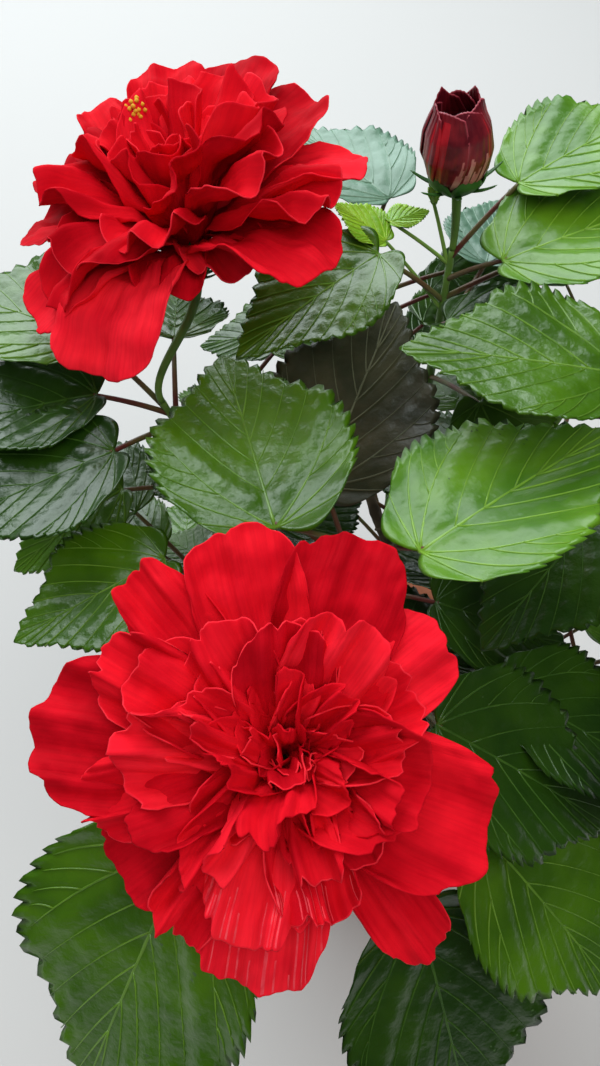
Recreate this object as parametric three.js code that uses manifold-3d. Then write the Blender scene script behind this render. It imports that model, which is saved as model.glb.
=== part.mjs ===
// A double-flowered hibiscus shrub in a plain clay pot, as an assembly of closed solids.
// Units are millimetres and degrees, +Z is up, and the origin is the middle of the pot's flat underside.
// A bearing runs anticlockwise from +X seen from above. The side that faces -Y is the front.
import * as THREE from "three";
import { mergeGeometries, mergeVertices } from "three/addons/utils/BufferGeometryUtils.js";
import Module from "manifold-3d";

const wasm = await Module();
wasm.setup();

// Driving dimensions

const GAP = 0.3; // between pieces that touch on the real plant
const POT = {
  height: 150,
  rimRadius: 88,
  bandHeight: 28,
  bandProud: 4,
  bandFootRadius: 80,
  footRadius: 60,
  wall: 7,
  floor: 9,
  edge: 3,
  sides: 32,
};
const DRAIN = { count: 4, radius: 5, ring: 34, sides: 8 };
const SOIL = { top: 132, bevel: 4, slope: 10 };
const TRUNK = { lean: [-3, 3], top: 214, footRadius: 8.5, topRadius: 5.5, flare: 5, flareHeight: 16 };
const BOUGH = { footRadius: 4.6, sideRadius: 3, tipRadius: 2.3, outward: 0.8, upward: 0.6, bend: 0.33 };
const STEM = { footRadius: 2.2, tipRadius: 1.3 };
const STALK = { footRadius: 1.25, tipRadius: 1.9, rise: 0.3, seat: 0.4 };
const PETIOLE = { radius: 0.9, arch: 0.06 };

// A blade's proportions: its width, thickness, sag, lobes and shoulders as shares of its length, how far
// its sides fold up, where its half sine of width starts, how fast it narrows, where it is cut at the tip
// and how far the petiole reaches in
const BLADE = {
  width: 0.84, thick: 0.018, sag: 0.08, lobe: 0.08, shoulder: 0.04,
  fold: 0.16, start: 0.2, full: 1.05, narrow: 0.2, tip: 0.985, root: 0.1,
};

// How a shoot grows the leaves that no row places, each value drawn between two limits, and how they
// turn aside, shorten and sink until they are clear
const RULE = {
  turn: 137.5, from: 0.12, to: 0.98, length: [61, 78], young: 0.62, petiole: [27, 44], rise: 0.62,
  slope: [-16, -4], droop: 18, roll: [-8, 8],
  tries: 24, aside: 24, shorter: 0.015, further: 0.03, furtherSteps: 7, lower: 0.08, lowerSteps: 5,
};
const CROWN = { reach: 158, low: 152 };
const CLEAR = { blade: 3.2, edge: 5, limb: 5.5, near: 30, apart: 190 };
const SAMPLES = { along: 7, across: 3, half: 3.2, petiole: 8, limb: 24 };

// Boughs fork from the trunk at a height, lead to one shoot's foot and send side limbs to others,
// each from a share of the leading limb's length
const BOUGHS = [
  { name: "front", fork: 168, leader: "front_left", sides: { front_right: 0.5, front_low: 0.36 } },
  { name: "right", fork: 176, leader: "right", sides: { right_front: 0.5, right_low: 0.2, right_back: 0.6 } },
  { name: "left", fork: 182, leader: "back_left", sides: { left: 0.55, left_low: 0.18 } },
  { name: "back", fork: 192, leader: "bud_shoot", sides: { back: 0.45, back_low: 0.18 } },
  { name: "centre", fork: 207, leader: "centre", sides: {} },
];

// Each shoot: its foot and tip, how many leaves it grows by the rule from a starting bearing, and the
// leaves that are placed: share of the stem, blade foot x, y, z, length, heading, slope and roll
const SHOOTS = [
  {
    name: "front_left", foot: [-32, -50, 262], tip: [-46, -80, 303], more: 4, start: 170,
    placed: [[0.9, -74, -119, 320, 102, 237, -42, 0]],
  },
  {
    name: "front_right", foot: [8, -42, 262], tip: [2, -76, 322], more: 2, start: 40,
    placed: [
      [0.97, 2, -87, 339, 72, 341, -25, 0],
      [0.7, 30, -68, 323, 66, 338, -18, -10],
      [0.6, 17, -112, 314, 74, 320, -31, 0],
    ],
  },
  {
    name: "front_low", foot: [2, -56, 216], tip: [3, -108, 268], more: 4, start: 230,
    placed: [[0.95, -3, -133, 300, 82, 290, -40, 0]],
  },
  {
    name: "centre", foot: [-16, -16, 290], tip: [-25, -36, 366], more: 1, start: 320,
    placed: [
      [0.95, -47.5, -39, 376, 79, 105, 4, 0],
      [0.9, -4, -47, 375, 78, 34, 10, -12],
      [0.55, -32, 4, 342, 78, 66, 28, 0],
      [0.3, 10, -30, 316, 62, 352, -20, 0],
    ],
  },
  {
    name: "left", foot: [-52, -16, 262], tip: [-78, -24, 322], more: 4, start: 250,
    placed: [[0.9, -86, -30, 345, 58, 206, -9, 0]],
  },
  {
    name: "back_left", foot: [-58, 14, 290], tip: [-90, 27, 362], more: 4, start: 90,
    placed: [
      [0.95, -115, 44, 377, 70, 154, 2, 0],
      [0.93, -113, 27, 366, 60, 188, -5, 0],
      [0.86, -104, 2, 364, 66, 202, -8, 0],
    ],
  },
  {
    name: "back", foot: [-12, 74, 290], tip: [-14, 112, 362], more: 6, start: 60,
    placed: [[0.95, -5, 110, 390, 60, 128, 6, 0]],
  },
  {
    name: "bud_shoot", foot: [12, 58, 312], tip: [17, 80, 388], more: 2, start: 200,
    placed: [
      [0.97, 38, 87, 411, 60, 27, 17, 0],
      [0.86, 31, 59, 399, 68, 15, 16, 0],
      [0.5, 34, 92, 373, 48, 75, 2, 0],
      [0.75, -11, 74, 391, 66, 215, -11, 0],
      [0.6, 14, 54, 376, 55, 335, 12, 0],
      [0.7, -8, 83, 390, 24, 150, 25, 0],
      [0.93, -6, 90, 393, 17, 25, 5, 0],
      [0.9, 9, 89, 402, 12, 100, 62, 50],
    ],
  },
  {
    name: "right", foot: [58, 4, 285], tip: [88, 4, 366], more: 5, start: 330,
    placed: [
      [0.97, 60, 2, 400, 70, 172, 6, 0],
      [0.8, 66, -11, 349, 66, 224, -20, 6],
    ],
  },
  { name: "right_front", foot: [48, -36, 258], tip: [80, -58, 318], more: 7, start: 320, placed: [] },
  { name: "right_back", foot: [52, 48, 275], tip: [86, 72, 345], more: 8, start: 40, placed: [] },
  { name: "left_low", foot: [-48, 8, 196], tip: [-100, 12, 222], more: 7, start: 180, placed: [] },
  { name: "right_low", foot: [50, -6, 198], tip: [102, -14, 226], more: 8, start: 0, placed: [] },
  { name: "back_low", foot: [4, 56, 208], tip: [10, 108, 238], more: 8, start: 90, placed: [] },
];
const FIRST_SEED = 71;

// Each bloom: the shoot that carries it, its calyx, how far and which way its axis leans, and its outer
// petals: bearing, length, width, and the angles from the axis at which a petal sets out and ends
const BLOOMS = [
  {
    name: "bloom_front", shoot: "front_left", seed: 11,
    calyx: [-44, -94, 331], lean: 21, bearing: 268,
    outer: [
      [340, 66, 57, 30, 100],
      [38, 62, 42, 40, 88],
      [69, 71, 52, 42, 92],
      [103, 72, 48, 44, 92],
      [130, 73, 34, 44, 94],
      [172, 75, 60, 46, 102],
      [214, 58, 44, 46, 104],
      [262, 64, 50, 44, 110],
      [308, 68, 30, 46, 106],
    ],
  },
  {
    name: "bloom_back", shoot: "back_left", seed: 12,
    calyx: [-77, 60, 394], lean: 15, bearing: 125,
    outer: [
      [245, 68, 56, 48, 156],
      [212, 62, 50, 50, 138],
      [316, 66, 56, 45, 122],
      [356, 68, 42, 40, 98],
      [178, 58, 50, 42, 108],
      [150, 62, 52, 36, 92],
      [120, 66, 48, 28, 70],
      [92, 71, 44, 28, 62],
      [62, 72, 54, 32, 66],
      [30, 68, 54, 34, 76],
    ],
  },
];
const BUD = {
  name: "bud", shoot: "bud_shoot",
  calyx: [15, 82, 414], lean: 8, bearing: 180, height: 31, radius: 12,
};

// The rings of petals inside the outer ones, from the outermost, in the same terms
const OUTER = { across: 4, along: 3 };
const RINGS = [
  { count: 6, length: 55, width: 44, out: 22, end: 78, turn: 30, across: 3, along: 3 },
  { count: 6, length: 52, width: 34, out: 8, end: 44, turn: 58, across: 2, along: 2 },
  { count: 4, length: 46, width: 24, out: 0, end: 18, turn: 20, across: 2, along: 2 },
];
const PETAL = {
  thick: 1.6, claw: 0.24, flare: 1.2, widest: 0.62,
  lip: 0.4, least: 0.5, cup: 0.16, crowd: 1.4,
};
const SEAT = { reach: 3, height: 5, step: 3 };
const VARIED = { bearing: [-9, 9], length: [0.94, 1.06], width: [0.92, 1.08], out: [0, 9], end: [-9, 9] };
const CORE = { radius: 20, height: 20, lift: 22, around: 8, along: 6 };
const BRACT = { count: 5, length: 15, width: 2.6, out: 60, end: 35, seat: -2, across: 1, along: 2 };
const CALYX = { below: 3, neck: 2.4, waist: 0.75, waistAt: 0.25, sides: 10 };
const BLOOM_CALYX = { radius: 7, height: 12 };
const BUD_CALYX = { radius: 7.5, height: 8 };
const BLOOM_SPACE = { below: 4, depth: 80, neck: 12, spread: 60, taper: 30 };

const COLOURS = {
  clay: { color: 0xb5633f, roughness: 0.85 },
  soil: { color: 0x2e2119, roughness: 1 },
  bark: { color: 0x6f6350, roughness: 0.85 },
  leaf: { color: 0x1f5a1c, roughness: 0.35 },
  petal: { color: 0xd80f1c, roughness: 0.55 },
  bud: { color: 0x6d0d19, roughness: 0.5 },
};

// Small helpers

const rad = THREE.MathUtils.degToRad;
const vec = (p) => new THREE.Vector3(...p);
const UP = new THREE.Vector3(0, 0, 1);

// Numbers from 0 to 1 that are the same each time
function seeded(seed) {
  let state = seed >>> 0;
  return () => {
    state = (Math.imul(state, 1664525) + 1013904223) >>> 0;
    return state / 4294967296;
  };
}

const between = (random, [low, high]) => low + (high - low) * random();

// The direction at a bearing and a slope above the horizontal
function direction(bearing, slope) {
  const flat = Math.cos(rad(slope));
  const x = Math.cos(rad(bearing)) * flat;
  const y = Math.sin(rad(bearing)) * flat;
  return new THREE.Vector3(x, y, Math.sin(rad(slope)));
}

// A geometry with each of its points carried to place(point)
function bent(geometry, place) {
  const position = geometry.getAttribute("position");
  const point = new THREE.Vector3();
  for (let i = 0; i < position.count; i++) {
    point.fromBufferAttribute(position, i);
    const moved = place(point);
    position.setXYZ(i, moved.x, moved.y, moved.z);
  }
  return geometry;
}

// A blade or petal: two faces that share their margin and bulge apart inside it. place(u, v, bulge)
// takes u from -1 to 1 across, v from 0 to 1 along, and a bulge from -1 to 1.
function lens(across, along, place) {
  const faces = [1, -1].map((side) => {
    const face = bent(new THREE.PlaneGeometry(2, 1, across, along), (p) => {
      const v = p.y + 0.5;
      const ends = Math.min(1, 2 * along * v, 2 * along * (1 - v));
      return place(p.x, v, side * (1 - p.x * p.x) * Math.max(0, ends));
    });
    if (side < 0) face.index.array.reverse();
    return face;
  });
  return mergeGeometries(faces);
}

// A profile of radius and height points, turned about the vertical
function turned(profile, sides) {
  const points = profile.map(([radius, height]) => new THREE.Vector2(radius, height));
  return new THREE.LatheGeometry(points, sides).rotateX(Math.PI / 2);
}

function solidOf(geometry) {
  geometry.deleteAttribute("normal");
  geometry.deleteAttribute("uv");
  const merged = mergeVertices(geometry, 1e-4);
  const mesh = new wasm.Mesh({
    numProp: 3,
    vertProperties: new Float32Array(merged.getAttribute("position").array),
    triVerts: new Uint32Array(merged.index.array),
  });
  return new wasm.Manifold(mesh);
}

function geometryOf(solid) {
  const mesh = solid.getMesh();
  const geometry = new THREE.BufferGeometry();
  geometry.setAttribute("position", new THREE.BufferAttribute(mesh.vertProperties, 3));
  geometry.setIndex(new THREE.BufferAttribute(mesh.triVerts, 1));
  geometry.computeVertexNormals();
  return geometry;
}

const joined = (solids) => solids.reduce((a, b) => a.add(b));

// The largest of the bodies that a join or cut leaves, so that a loose scrap is dropped
const whole = (solid) => solid.decompose().reduce((a, b) => (a.volume() > b.volume() ? a : b));

// Limbs

// A tapering limb along a curve, with radiusAt(share) giving its radius
function limb(curve, radiusAt, sides, steps) {
  const along = curve.getPoint(1).sub(curve.getPoint(0)).toArray().map(Math.abs);
  const aside = [0, 0, 0];
  aside[along.indexOf(Math.min(...along))] = 1;
  const rod = new THREE.CylinderGeometry(1, 1, 1, sides, steps);
  return bent(rod, (p) => {
    const share = THREE.MathUtils.clamp(p.y + 0.5, 0, 1);
    const tangent = curve.getTangent(share);
    const across = new THREE.Vector3().crossVectors(tangent, vec(aside)).normalize();
    const up = new THREE.Vector3().crossVectors(across, tangent);
    const radius = radiusAt(share);
    return curve
      .getPoint(share)
      .addScaledVector(across, p.x * radius)
      .addScaledVector(up, p.z * radius);
  });
}

const tapered = (from, to) => (share) => from + (to - from) * share;

// The trunk stands upright on the soil and leans as it rises
function trunkCurve() {
  const foot = new THREE.Vector3(0, 0, SOIL.top + GAP);
  const top = new THREE.Vector3(...TRUNK.lean, TRUNK.top);
  const middle = new THREE.Vector3(0, 0, (SOIL.top + TRUNK.top) / 2);
  return new THREE.QuadraticBezierCurve3(foot, middle, top);
}

function trunkGeometry(spare) {
  const radiusAt = (share) => {
    const height = share * (TRUNK.top - SOIL.top);
    const flare = TRUNK.flare * Math.max(0, 1 - height / TRUNK.flareHeight) ** 2;
    return tapered(TRUNK.footRadius, TRUNK.topRadius)(share) + flare + spare;
  };
  return limb(trunkCurve(), radiusAt, 10, 8);
}

const shootNamed = (name) => SHOOTS.find((shoot) => shoot.name === name);
const shootDirection = (shoot) => vec(shoot.tip).sub(vec(shoot.foot)).normalize();

// A limb sets out sideways and up from where it forks, and ends at its shoot's foot, in line with it
function limbCurve(from, shoot) {
  const to = vec(shoot.foot);
  const reach = to.distanceTo(from) * BOUGH.bend;
  const out = to.clone().sub(from).setZ(0).normalize().multiplyScalar(BOUGH.outward).setZ(BOUGH.upward);
  return new THREE.CubicBezierCurve3(
    from,
    from.clone().addScaledVector(out, reach),
    to.clone().addScaledVector(shootDirection(shoot), -reach),
    to,
  );
}

// A bough's leading limb, and the side limbs that leave it
function boughCurves(bough) {
  const share = (bough.fork - SOIL.top) / (TRUNK.top - SOIL.top);
  const leader = limbCurve(trunkCurve().getPoint(share), shootNamed(bough.leader));
  const sides = Object.entries(bough.sides);
  return [leader, ...sides.map(([name, at]) => limbCurve(leader.getPoint(at), shootNamed(name)))];
}

function boughSolid(bough, cutter) {
  const limbs = boughCurves(bough).map((curve, i) => {
    const from = i === 0 ? BOUGH.footRadius : BOUGH.sideRadius;
    return solidOf(limb(curve, tapered(from, BOUGH.tipRadius), 5, 5));
  });
  return whole(joined(limbs).subtract(cutter));
}

function stemCurve(shoot) {
  const foot = vec(shoot.foot).addScaledVector(shootDirection(shoot), GAP);
  return new THREE.LineCurve3(foot, vec(shoot.tip));
}

// The stalk of a flower runs from its shoot's tip up into the calyx, whose axis it ends along
function stalkCurve(flower) {
  const shoot = shootNamed(flower.shoot);
  const heading = shootDirection(shoot);
  const from = vec(shoot.tip).addScaledVector(heading, GAP);
  const to = vec(flower.calyx);
  const span = to.distanceTo(from);
  return new THREE.CubicBezierCurve3(
    from,
    from.clone().addScaledVector(heading, span * STALK.rise),
    to.clone().addScaledVector(flowerAxis(flower), -span * STALK.seat),
    to,
  );
}

// Leaves

// A blade's width at a share of its length
function bladeShape(v) {
  return Math.sin(Math.PI * (BLADE.start + (1 - BLADE.start) * v)) * (BLADE.full - BLADE.narrow * v);
}

// Height of a blade's face above the plane through its foot, at x along the midrib and y across
function bladeHeight(leaf, x, y) {
  const along = THREE.MathUtils.clamp(x / leaf.length, 0, 1);
  return BLADE.fold * Math.abs(y) - leaf.length * BLADE.sag * along * along;
}

// A point of the blade: u from -1 to 1 across it, v from 0 to 1 along it
function bladePoint(leaf, u, v, above = 0) {
  const back = BLADE.lobe * Math.sin(Math.PI * Math.abs(u)) - BLADE.shoulder * u * u;
  const x = leaf.length * (v - back * (1 - v) ** 3);
  const y = leaf.length * 0.5 * BLADE.width * bladeShape(v) * u;
  return leaf.foot
    .clone()
    .addScaledVector(leaf.ahead, x)
    .addScaledVector(leaf.left, y)
    .addScaledVector(leaf.normal, bladeHeight(leaf, x, y) + above);
}

function petioleCurve(leaf) {
  const middle = leaf.node.clone().lerp(leaf.foot, 0.5);
  middle.z += PETIOLE.arch * leaf.node.distanceTo(leaf.foot);
  return new THREE.QuadraticBezierCurve3(leaf.node, middle, leaf.foot);
}

// A leaf's frame, with the spots on its blade and petiole that clearances are tested at
function makeLeaf(shoot, node, foot, length, heading, slope, roll) {
  const ahead = direction(heading, slope);
  const level = direction(heading + 90, 0);
  const upright = new THREE.Vector3().crossVectors(ahead, level);
  const left = level.multiplyScalar(Math.cos(rad(roll))).addScaledVector(upright, Math.sin(rad(roll)));
  const normal = new THREE.Vector3().crossVectors(ahead, left);
  const leaf = { shoot, node, foot, length, ahead, left, normal, spots: [] };
  for (let i = 0; i <= SAMPLES.along; i++) {
    for (let j = -SAMPLES.across; j <= SAMPLES.across; j++) {
      leaf.spots.push(bladePoint(leaf, j / SAMPLES.half, i / SAMPLES.along));
    }
  }
  leaf.petiole = petioleCurve(leaf).getPoints(SAMPLES.petiole).slice(1, -1);
  return leaf;
}

// A point's height over a blade, or null where it lies past the blade's edge
function heightOver(leaf, point) {
  const offset = point.clone().sub(leaf.foot);
  const x = offset.dot(leaf.ahead);
  const y = offset.dot(leaf.left);
  const along = THREE.MathUtils.clamp(x / leaf.length, 0, 1);
  const half = leaf.length * 0.5 * BLADE.width * bladeShape(along) + CLEAR.edge;
  const behind = x < -BLADE.lobe * leaf.length - CLEAR.edge;
  if (behind || x > leaf.length + CLEAR.edge || Math.abs(y) > half) return null;
  return offset.dot(leaf.normal) - bladeHeight(leaf, x, y);
}

// True where points come too near to a blade or lie on both sides of it
function crosses(leaf, points) {
  let above = false;
  let below = false;
  for (const point of points) {
    const height = heightOver(leaf, point);
    if (height === null || Math.abs(height) > CLEAR.near) continue;
    if (Math.abs(height) < CLEAR.blade) return true;
    above ||= height > 0;
    below ||= height < 0;
    if (above && below) return true;
  }
  return false;
}

const anyNear = (some, others) => some.some((a) => others.some((b) => a.distanceTo(b) < CLEAR.limb));

// True where a point lies in the bowl that a bloom fills
function inBloom(bloom, point) {
  const axis = flowerAxis(bloom);
  const offset = point.clone().sub(vec(bloom.calyx));
  const height = offset.dot(axis) + BLOOM_SPACE.below;
  const reach = offset.addScaledVector(axis, -offset.dot(axis)).length();
  const widening = Math.min(1, height / BLOOM_SPACE.taper);
  const inReach = reach < BLOOM_SPACE.neck + BLOOM_SPACE.spread * widening;
  return height > 0 && height < BLOOM_SPACE.depth && inReach;
}

function clashes(leaf, grown, limbs) {
  if (leaf.spots.some((p) => Math.hypot(p.x, p.y) > CROWN.reach || p.z < CROWN.low)) return true;
  if ([...leaf.spots, ...leaf.petiole].some((p) => BLOOMS.some((bloom) => inBloom(bloom, p)))) return true;
  for (const points of limbs) {
    if (crosses(leaf, points) || anyNear(leaf.petiole.slice(2), points)) return true;
  }
  for (const other of grown) {
    if (leaf.foot.distanceTo(other.foot) > CLEAR.apart) continue;
    if (crosses(leaf, other.spots) || crosses(leaf, other.petiole)) return true;
    if (crosses(other, leaf.spots) || crosses(other, leaf.petiole)) return true;
    if (other.shoot !== leaf.shoot && anyNear(leaf.petiole, other.petiole)) return true;
  }
  return false;
}

// Points along each limb that a leaf has to keep clear of
function limbPoints() {
  const limbs = [trunkCurve(), ...BOUGHS.flatMap(boughCurves)];
  const stems = [...SHOOTS.map(stemCurve), ...[...BLOOMS, BUD].map(stalkCurve)];
  return [...limbs, ...stems].map((curve) => curve.getPoints(SAMPLES.limb).slice(1));
}

// The i-th leaf that a shoot grows by the rule, or null where no try is clear
function ruleLeaf(shoot, i, random, grown, limbs) {
  const share = RULE.from + ((RULE.to - RULE.from) * (i + 0.5)) / shoot.more;
  const node = stemCurve(shoot).getPoint(share);
  const length = between(random, RULE.length) * (1 - (1 - RULE.young) * share * share);
  const petiole = between(random, RULE.petiole);
  const slope = between(random, RULE.slope) - RULE.droop * (1 - share);
  const roll = between(random, RULE.roll);
  for (let k = 0; k < RULE.tries; k++) {
    const aside = (k % 2 ? 1 : -1) * Math.ceil(k / 2) * RULE.aside;
    const bearing = shoot.start + RULE.turn * i + aside;
    const reach = petiole * (1 + RULE.further * (k % RULE.furtherSteps));
    const foot = node.clone().addScaledVector(direction(bearing, 0), reach);
    foot.z += reach * (RULE.rise - RULE.lower * (k % RULE.lowerSteps));
    const leaf = makeLeaf(shoot, node, foot, length * (1 - RULE.shorter * k), bearing, slope, roll);
    if (!clashes(leaf, grown, limbs)) return leaf;
  }
  return null;
}

// Every leaf: first the placed ones, then those that the rule adds clear of what has grown
function growLeaves() {
  const limbs = limbPoints();
  const grown = SHOOTS.flatMap((shoot) =>
    shoot.placed.map(([share, x, y, z, ...rest]) =>
      makeLeaf(shoot, stemCurve(shoot).getPoint(share), new THREE.Vector3(x, y, z), ...rest),
    ),
  );
  SHOOTS.forEach((shoot, index) => {
    const random = seeded(FIRST_SEED + index);
    for (let i = 0; i < shoot.more; i++) {
      const leaf = ruleLeaf(shoot, i, random, grown, limbs);
      if (leaf) grown.push(leaf);
    }
  });
  return grown;
}

function leafSolid(leaf) {
  const half = 0.5 * BLADE.thick * leaf.length;
  const blade = lens(4, 3, (u, v, bulge) => bladePoint(leaf, -u, v * BLADE.tip, bulge * half));
  const curve = petioleCurve(leaf);
  curve.v2 = leaf.foot.clone().addScaledVector(leaf.ahead, BLADE.root * leaf.length);
  return solidOf(blade).add(solidOf(limb(curve, () => PETIOLE.radius, 3, 2)));
}

function shootSolid(shoot, leaves) {
  const stem = limb(stemCurve(shoot), tapered(STEM.footRadius, STEM.tipRadius), 5, 3);
  return whole(joined([solidOf(stem), ...leaves.map(leafSolid)]));
}

// Blooms and the bud

const flowerAxis = (flower) => direction(flower.bearing, 90 - flower.lean);

// A flower's head, made with its calyx at the origin and its axis upright, set in its place on its stalk
function flowerSolid(flower, head) {
  const turn = new THREE.Quaternion().setFromUnitVectors(UP, flowerAxis(flower));
  const place = new THREE.Matrix4().compose(vec(flower.calyx), turn, new THREE.Vector3(1, 1, 1));
  const stalk = limb(stalkCurve(flower), tapered(STALK.footRadius, STALK.tipRadius), 5, 5);
  return whole(head.transform(place.toArray()).add(solidOf(stalk)));
}

// A petal's width at a share of its length: a narrow claw that flares, then a round lip
function petalWidth(v) {
  if (v < PETAL.widest) return PETAL.claw + (1 - PETAL.claw) * (v / PETAL.widest) ** PETAL.flare;
  return Math.max(PETAL.least, Math.sqrt(1 - ((v - PETAL.widest) / PETAL.lip) ** 2));
}

// A petal bends from its angle at the claw to its angle at the lip as it runs out. Its points crowd
// towards the lip, which is then rounder.
function petalSolid(petal) {
  const from = rad(petal.out);
  const by = rad(petal.end) - from;
  const outward = direction(petal.bearing, 0);
  const aside = direction(petal.bearing + 90, 0);
  return solidOf(
    lens(petal.across, petal.along, (u, along, bulge) => {
      const v = 1 - (1 - along) ** PETAL.crowd;
      const angle = from + by * v;
      const half = 0.5 * petal.width * petalWidth(v);
      const inward = PETAL.cup * half * u * u - 0.5 * PETAL.thick * bulge;
      const reach = SEAT.reach + (petal.length / by) * (Math.cos(from) - Math.cos(angle));
      const height = petal.seat + (petal.length / by) * (Math.sin(angle) - Math.sin(from));
      return new THREE.Vector3(0, 0, height + inward * Math.sin(angle))
        .addScaledVector(outward, reach - inward * Math.cos(angle))
        .addScaledVector(aside, half * u);
    }),
  );
}

function outerPetals(bloom) {
  return bloom.outer.map(([bearing, length, width, out, end]) => ({
    bearing, length, width, out, end, seat: SEAT.height, ...OUTER,
  }));
}

function ringPetals(ring, layer, random) {
  const petals = [];
  for (let i = 0; i < ring.count; i++) {
    petals.push({
      bearing: ring.turn + (360 * i) / ring.count + between(random, VARIED.bearing),
      length: ring.length * between(random, VARIED.length),
      width: ring.width * between(random, VARIED.width),
      out: ring.out + between(random, VARIED.out),
      end: ring.end + between(random, VARIED.end),
      seat: SEAT.height + SEAT.step * (layer + 1),
      across: ring.across,
      along: ring.along,
    });
  }
  return petals;
}

function bractSolids() {
  const bracts = [];
  for (let i = 0; i < BRACT.count; i++) {
    bracts.push(petalSolid({ ...BRACT, bearing: (360 * i) / BRACT.count }));
  }
  return bracts;
}

function calyxSolid({ radius, height }) {
  const profile = [
    [0, -CALYX.below],
    [CALYX.neck, -CALYX.below],
    [radius * CALYX.waist, height * CALYX.waistAt],
    [radius, height],
    [0, height],
  ];
  return solidOf(turned(profile, CALYX.sides));
}

// The core stands for the crowded inner petals, which rise to a dome
function bloomSolid(bloom) {
  const random = seeded(bloom.seed);
  const sphere = new THREE.SphereGeometry(1, CORE.around, CORE.along).rotateX(Math.PI / 2);
  const core = sphere.scale(CORE.radius, CORE.radius, CORE.height).translate(0, 0, CORE.lift);
  const inner = RINGS.flatMap((ring, layer) => ringPetals(ring, layer, random));
  const petals = [...outerPetals(bloom), ...inner].map(petalSolid);
  const head = joined([solidOf(core), calyxSolid(BLOOM_CALYX), ...bractSolids(), ...petals]);
  return flowerSolid(bloom, head);
}

// Petals wrapped into a barrel that is just opening at its mouth
function budSolid() {
  const profile = [
    [0, 0],
    [0.5, 0],
    [0.86, 0.22],
    [1, 0.45],
    [0.9, 0.72],
    [0.6, 0.97],
    [0.4, 0.99],
    [0.25, 0.84],
    [0, 0.82],
  ];
  const barrel = turned(profile, 12).scale(BUD.radius, BUD.radius, BUD.height);
  return flowerSolid(BUD, joined([solidOf(barrel), calyxSolid(BUD_CALYX), ...bractSolids()]));
}

// Pot and soil

const POT_INSIDE = { foot: POT.footRadius - POT.wall, top: POT.rimRadius - POT.bandProud - POT.wall };

function potSolid() {
  const bandFoot = POT.height - POT.bandHeight;
  const profile = [
    [0, 0],
    [POT.footRadius - POT.edge, 0],
    [POT.footRadius, POT.edge],
    [POT.bandFootRadius, bandFoot],
    [POT.rimRadius, bandFoot + POT.edge],
    [POT.rimRadius, POT.height - POT.edge],
    [POT.rimRadius - POT.edge, POT.height],
    [POT_INSIDE.top + POT.edge, POT.height],
    [POT_INSIDE.top, POT.height - POT.edge],
    [POT_INSIDE.foot, POT.floor],
    [0, POT.floor],
  ];
  const holes = [];
  for (let i = 0; i < DRAIN.count; i++) {
    const at = direction((360 * (i + 0.5)) / DRAIN.count, 0).multiplyScalar(DRAIN.ring);
    const hole = new THREE.CylinderGeometry(DRAIN.radius, DRAIN.radius, 3 * POT.floor, DRAIN.sides);
    holes.push(solidOf(hole.rotateX(Math.PI / 2).translate(at.x, at.y, 0)));
  }
  return solidOf(turned(profile, POT.sides)).subtract(joined(holes));
}

// The compost fills the pot to a little below its rim, and slopes down to the wall
function soilSolid() {
  const foot = POT.floor + GAP;
  const wallSlope = (POT_INSIDE.top - POT_INSIDE.foot) / (POT.height - POT.edge - POT.floor);
  const wallAt = (z) => POT_INSIDE.foot + wallSlope * (z - POT.floor) - 2 * GAP;
  const profile = [
    [0, foot],
    [wallAt(foot), foot],
    [wallAt(SOIL.top - SOIL.bevel), SOIL.top - SOIL.bevel],
    [wallAt(SOIL.top) - SOIL.slope, SOIL.top],
    [0, SOIL.top],
  ];
  return solidOf(turned(profile, POT.sides));
}

// The scene

const plant = new THREE.Group();

function addMesh(name, solid, look) {
  const mesh = new THREE.Mesh(geometryOf(solid), new THREE.MeshStandardMaterial(look));
  mesh.name = name;
  plant.add(mesh);
}

addMesh("pot", potSolid(), COLOURS.clay);
addMesh("soil", soilSolid(), COLOURS.soil);
addMesh("trunk", solidOf(trunkGeometry(0)), COLOURS.bark);

const cutter = solidOf(trunkGeometry(GAP));
for (const bough of BOUGHS) addMesh("bough_" + bough.name, boughSolid(bough, cutter), COLOURS.bark);

const leaves = growLeaves();
for (const shoot of SHOOTS) {
  const own = leaves.filter((leaf) => leaf.shoot === shoot);
  addMesh("leaves_" + shoot.name, shootSolid(shoot, own), COLOURS.leaf);
}
for (const bloom of BLOOMS) addMesh(bloom.name, bloomSolid(bloom), COLOURS.petal);
addMesh(BUD.name, budSolid(), COLOURS.bud);

export default plant;
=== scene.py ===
import math
from types import SimpleNamespace as Values

import bpy
import numpy as np
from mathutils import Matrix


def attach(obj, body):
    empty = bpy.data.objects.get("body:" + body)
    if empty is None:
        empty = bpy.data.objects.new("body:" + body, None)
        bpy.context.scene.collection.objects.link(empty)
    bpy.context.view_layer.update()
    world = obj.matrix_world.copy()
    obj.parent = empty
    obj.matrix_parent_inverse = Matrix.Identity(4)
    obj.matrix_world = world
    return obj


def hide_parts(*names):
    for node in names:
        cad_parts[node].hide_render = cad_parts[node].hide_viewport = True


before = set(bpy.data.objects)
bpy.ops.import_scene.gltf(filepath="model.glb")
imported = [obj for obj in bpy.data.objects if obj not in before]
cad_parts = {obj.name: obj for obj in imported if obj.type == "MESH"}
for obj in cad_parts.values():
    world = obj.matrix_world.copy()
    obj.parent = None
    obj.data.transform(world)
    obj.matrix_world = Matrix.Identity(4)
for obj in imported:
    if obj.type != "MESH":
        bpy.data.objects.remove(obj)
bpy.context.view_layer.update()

# Sizes shared with the part's source

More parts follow.
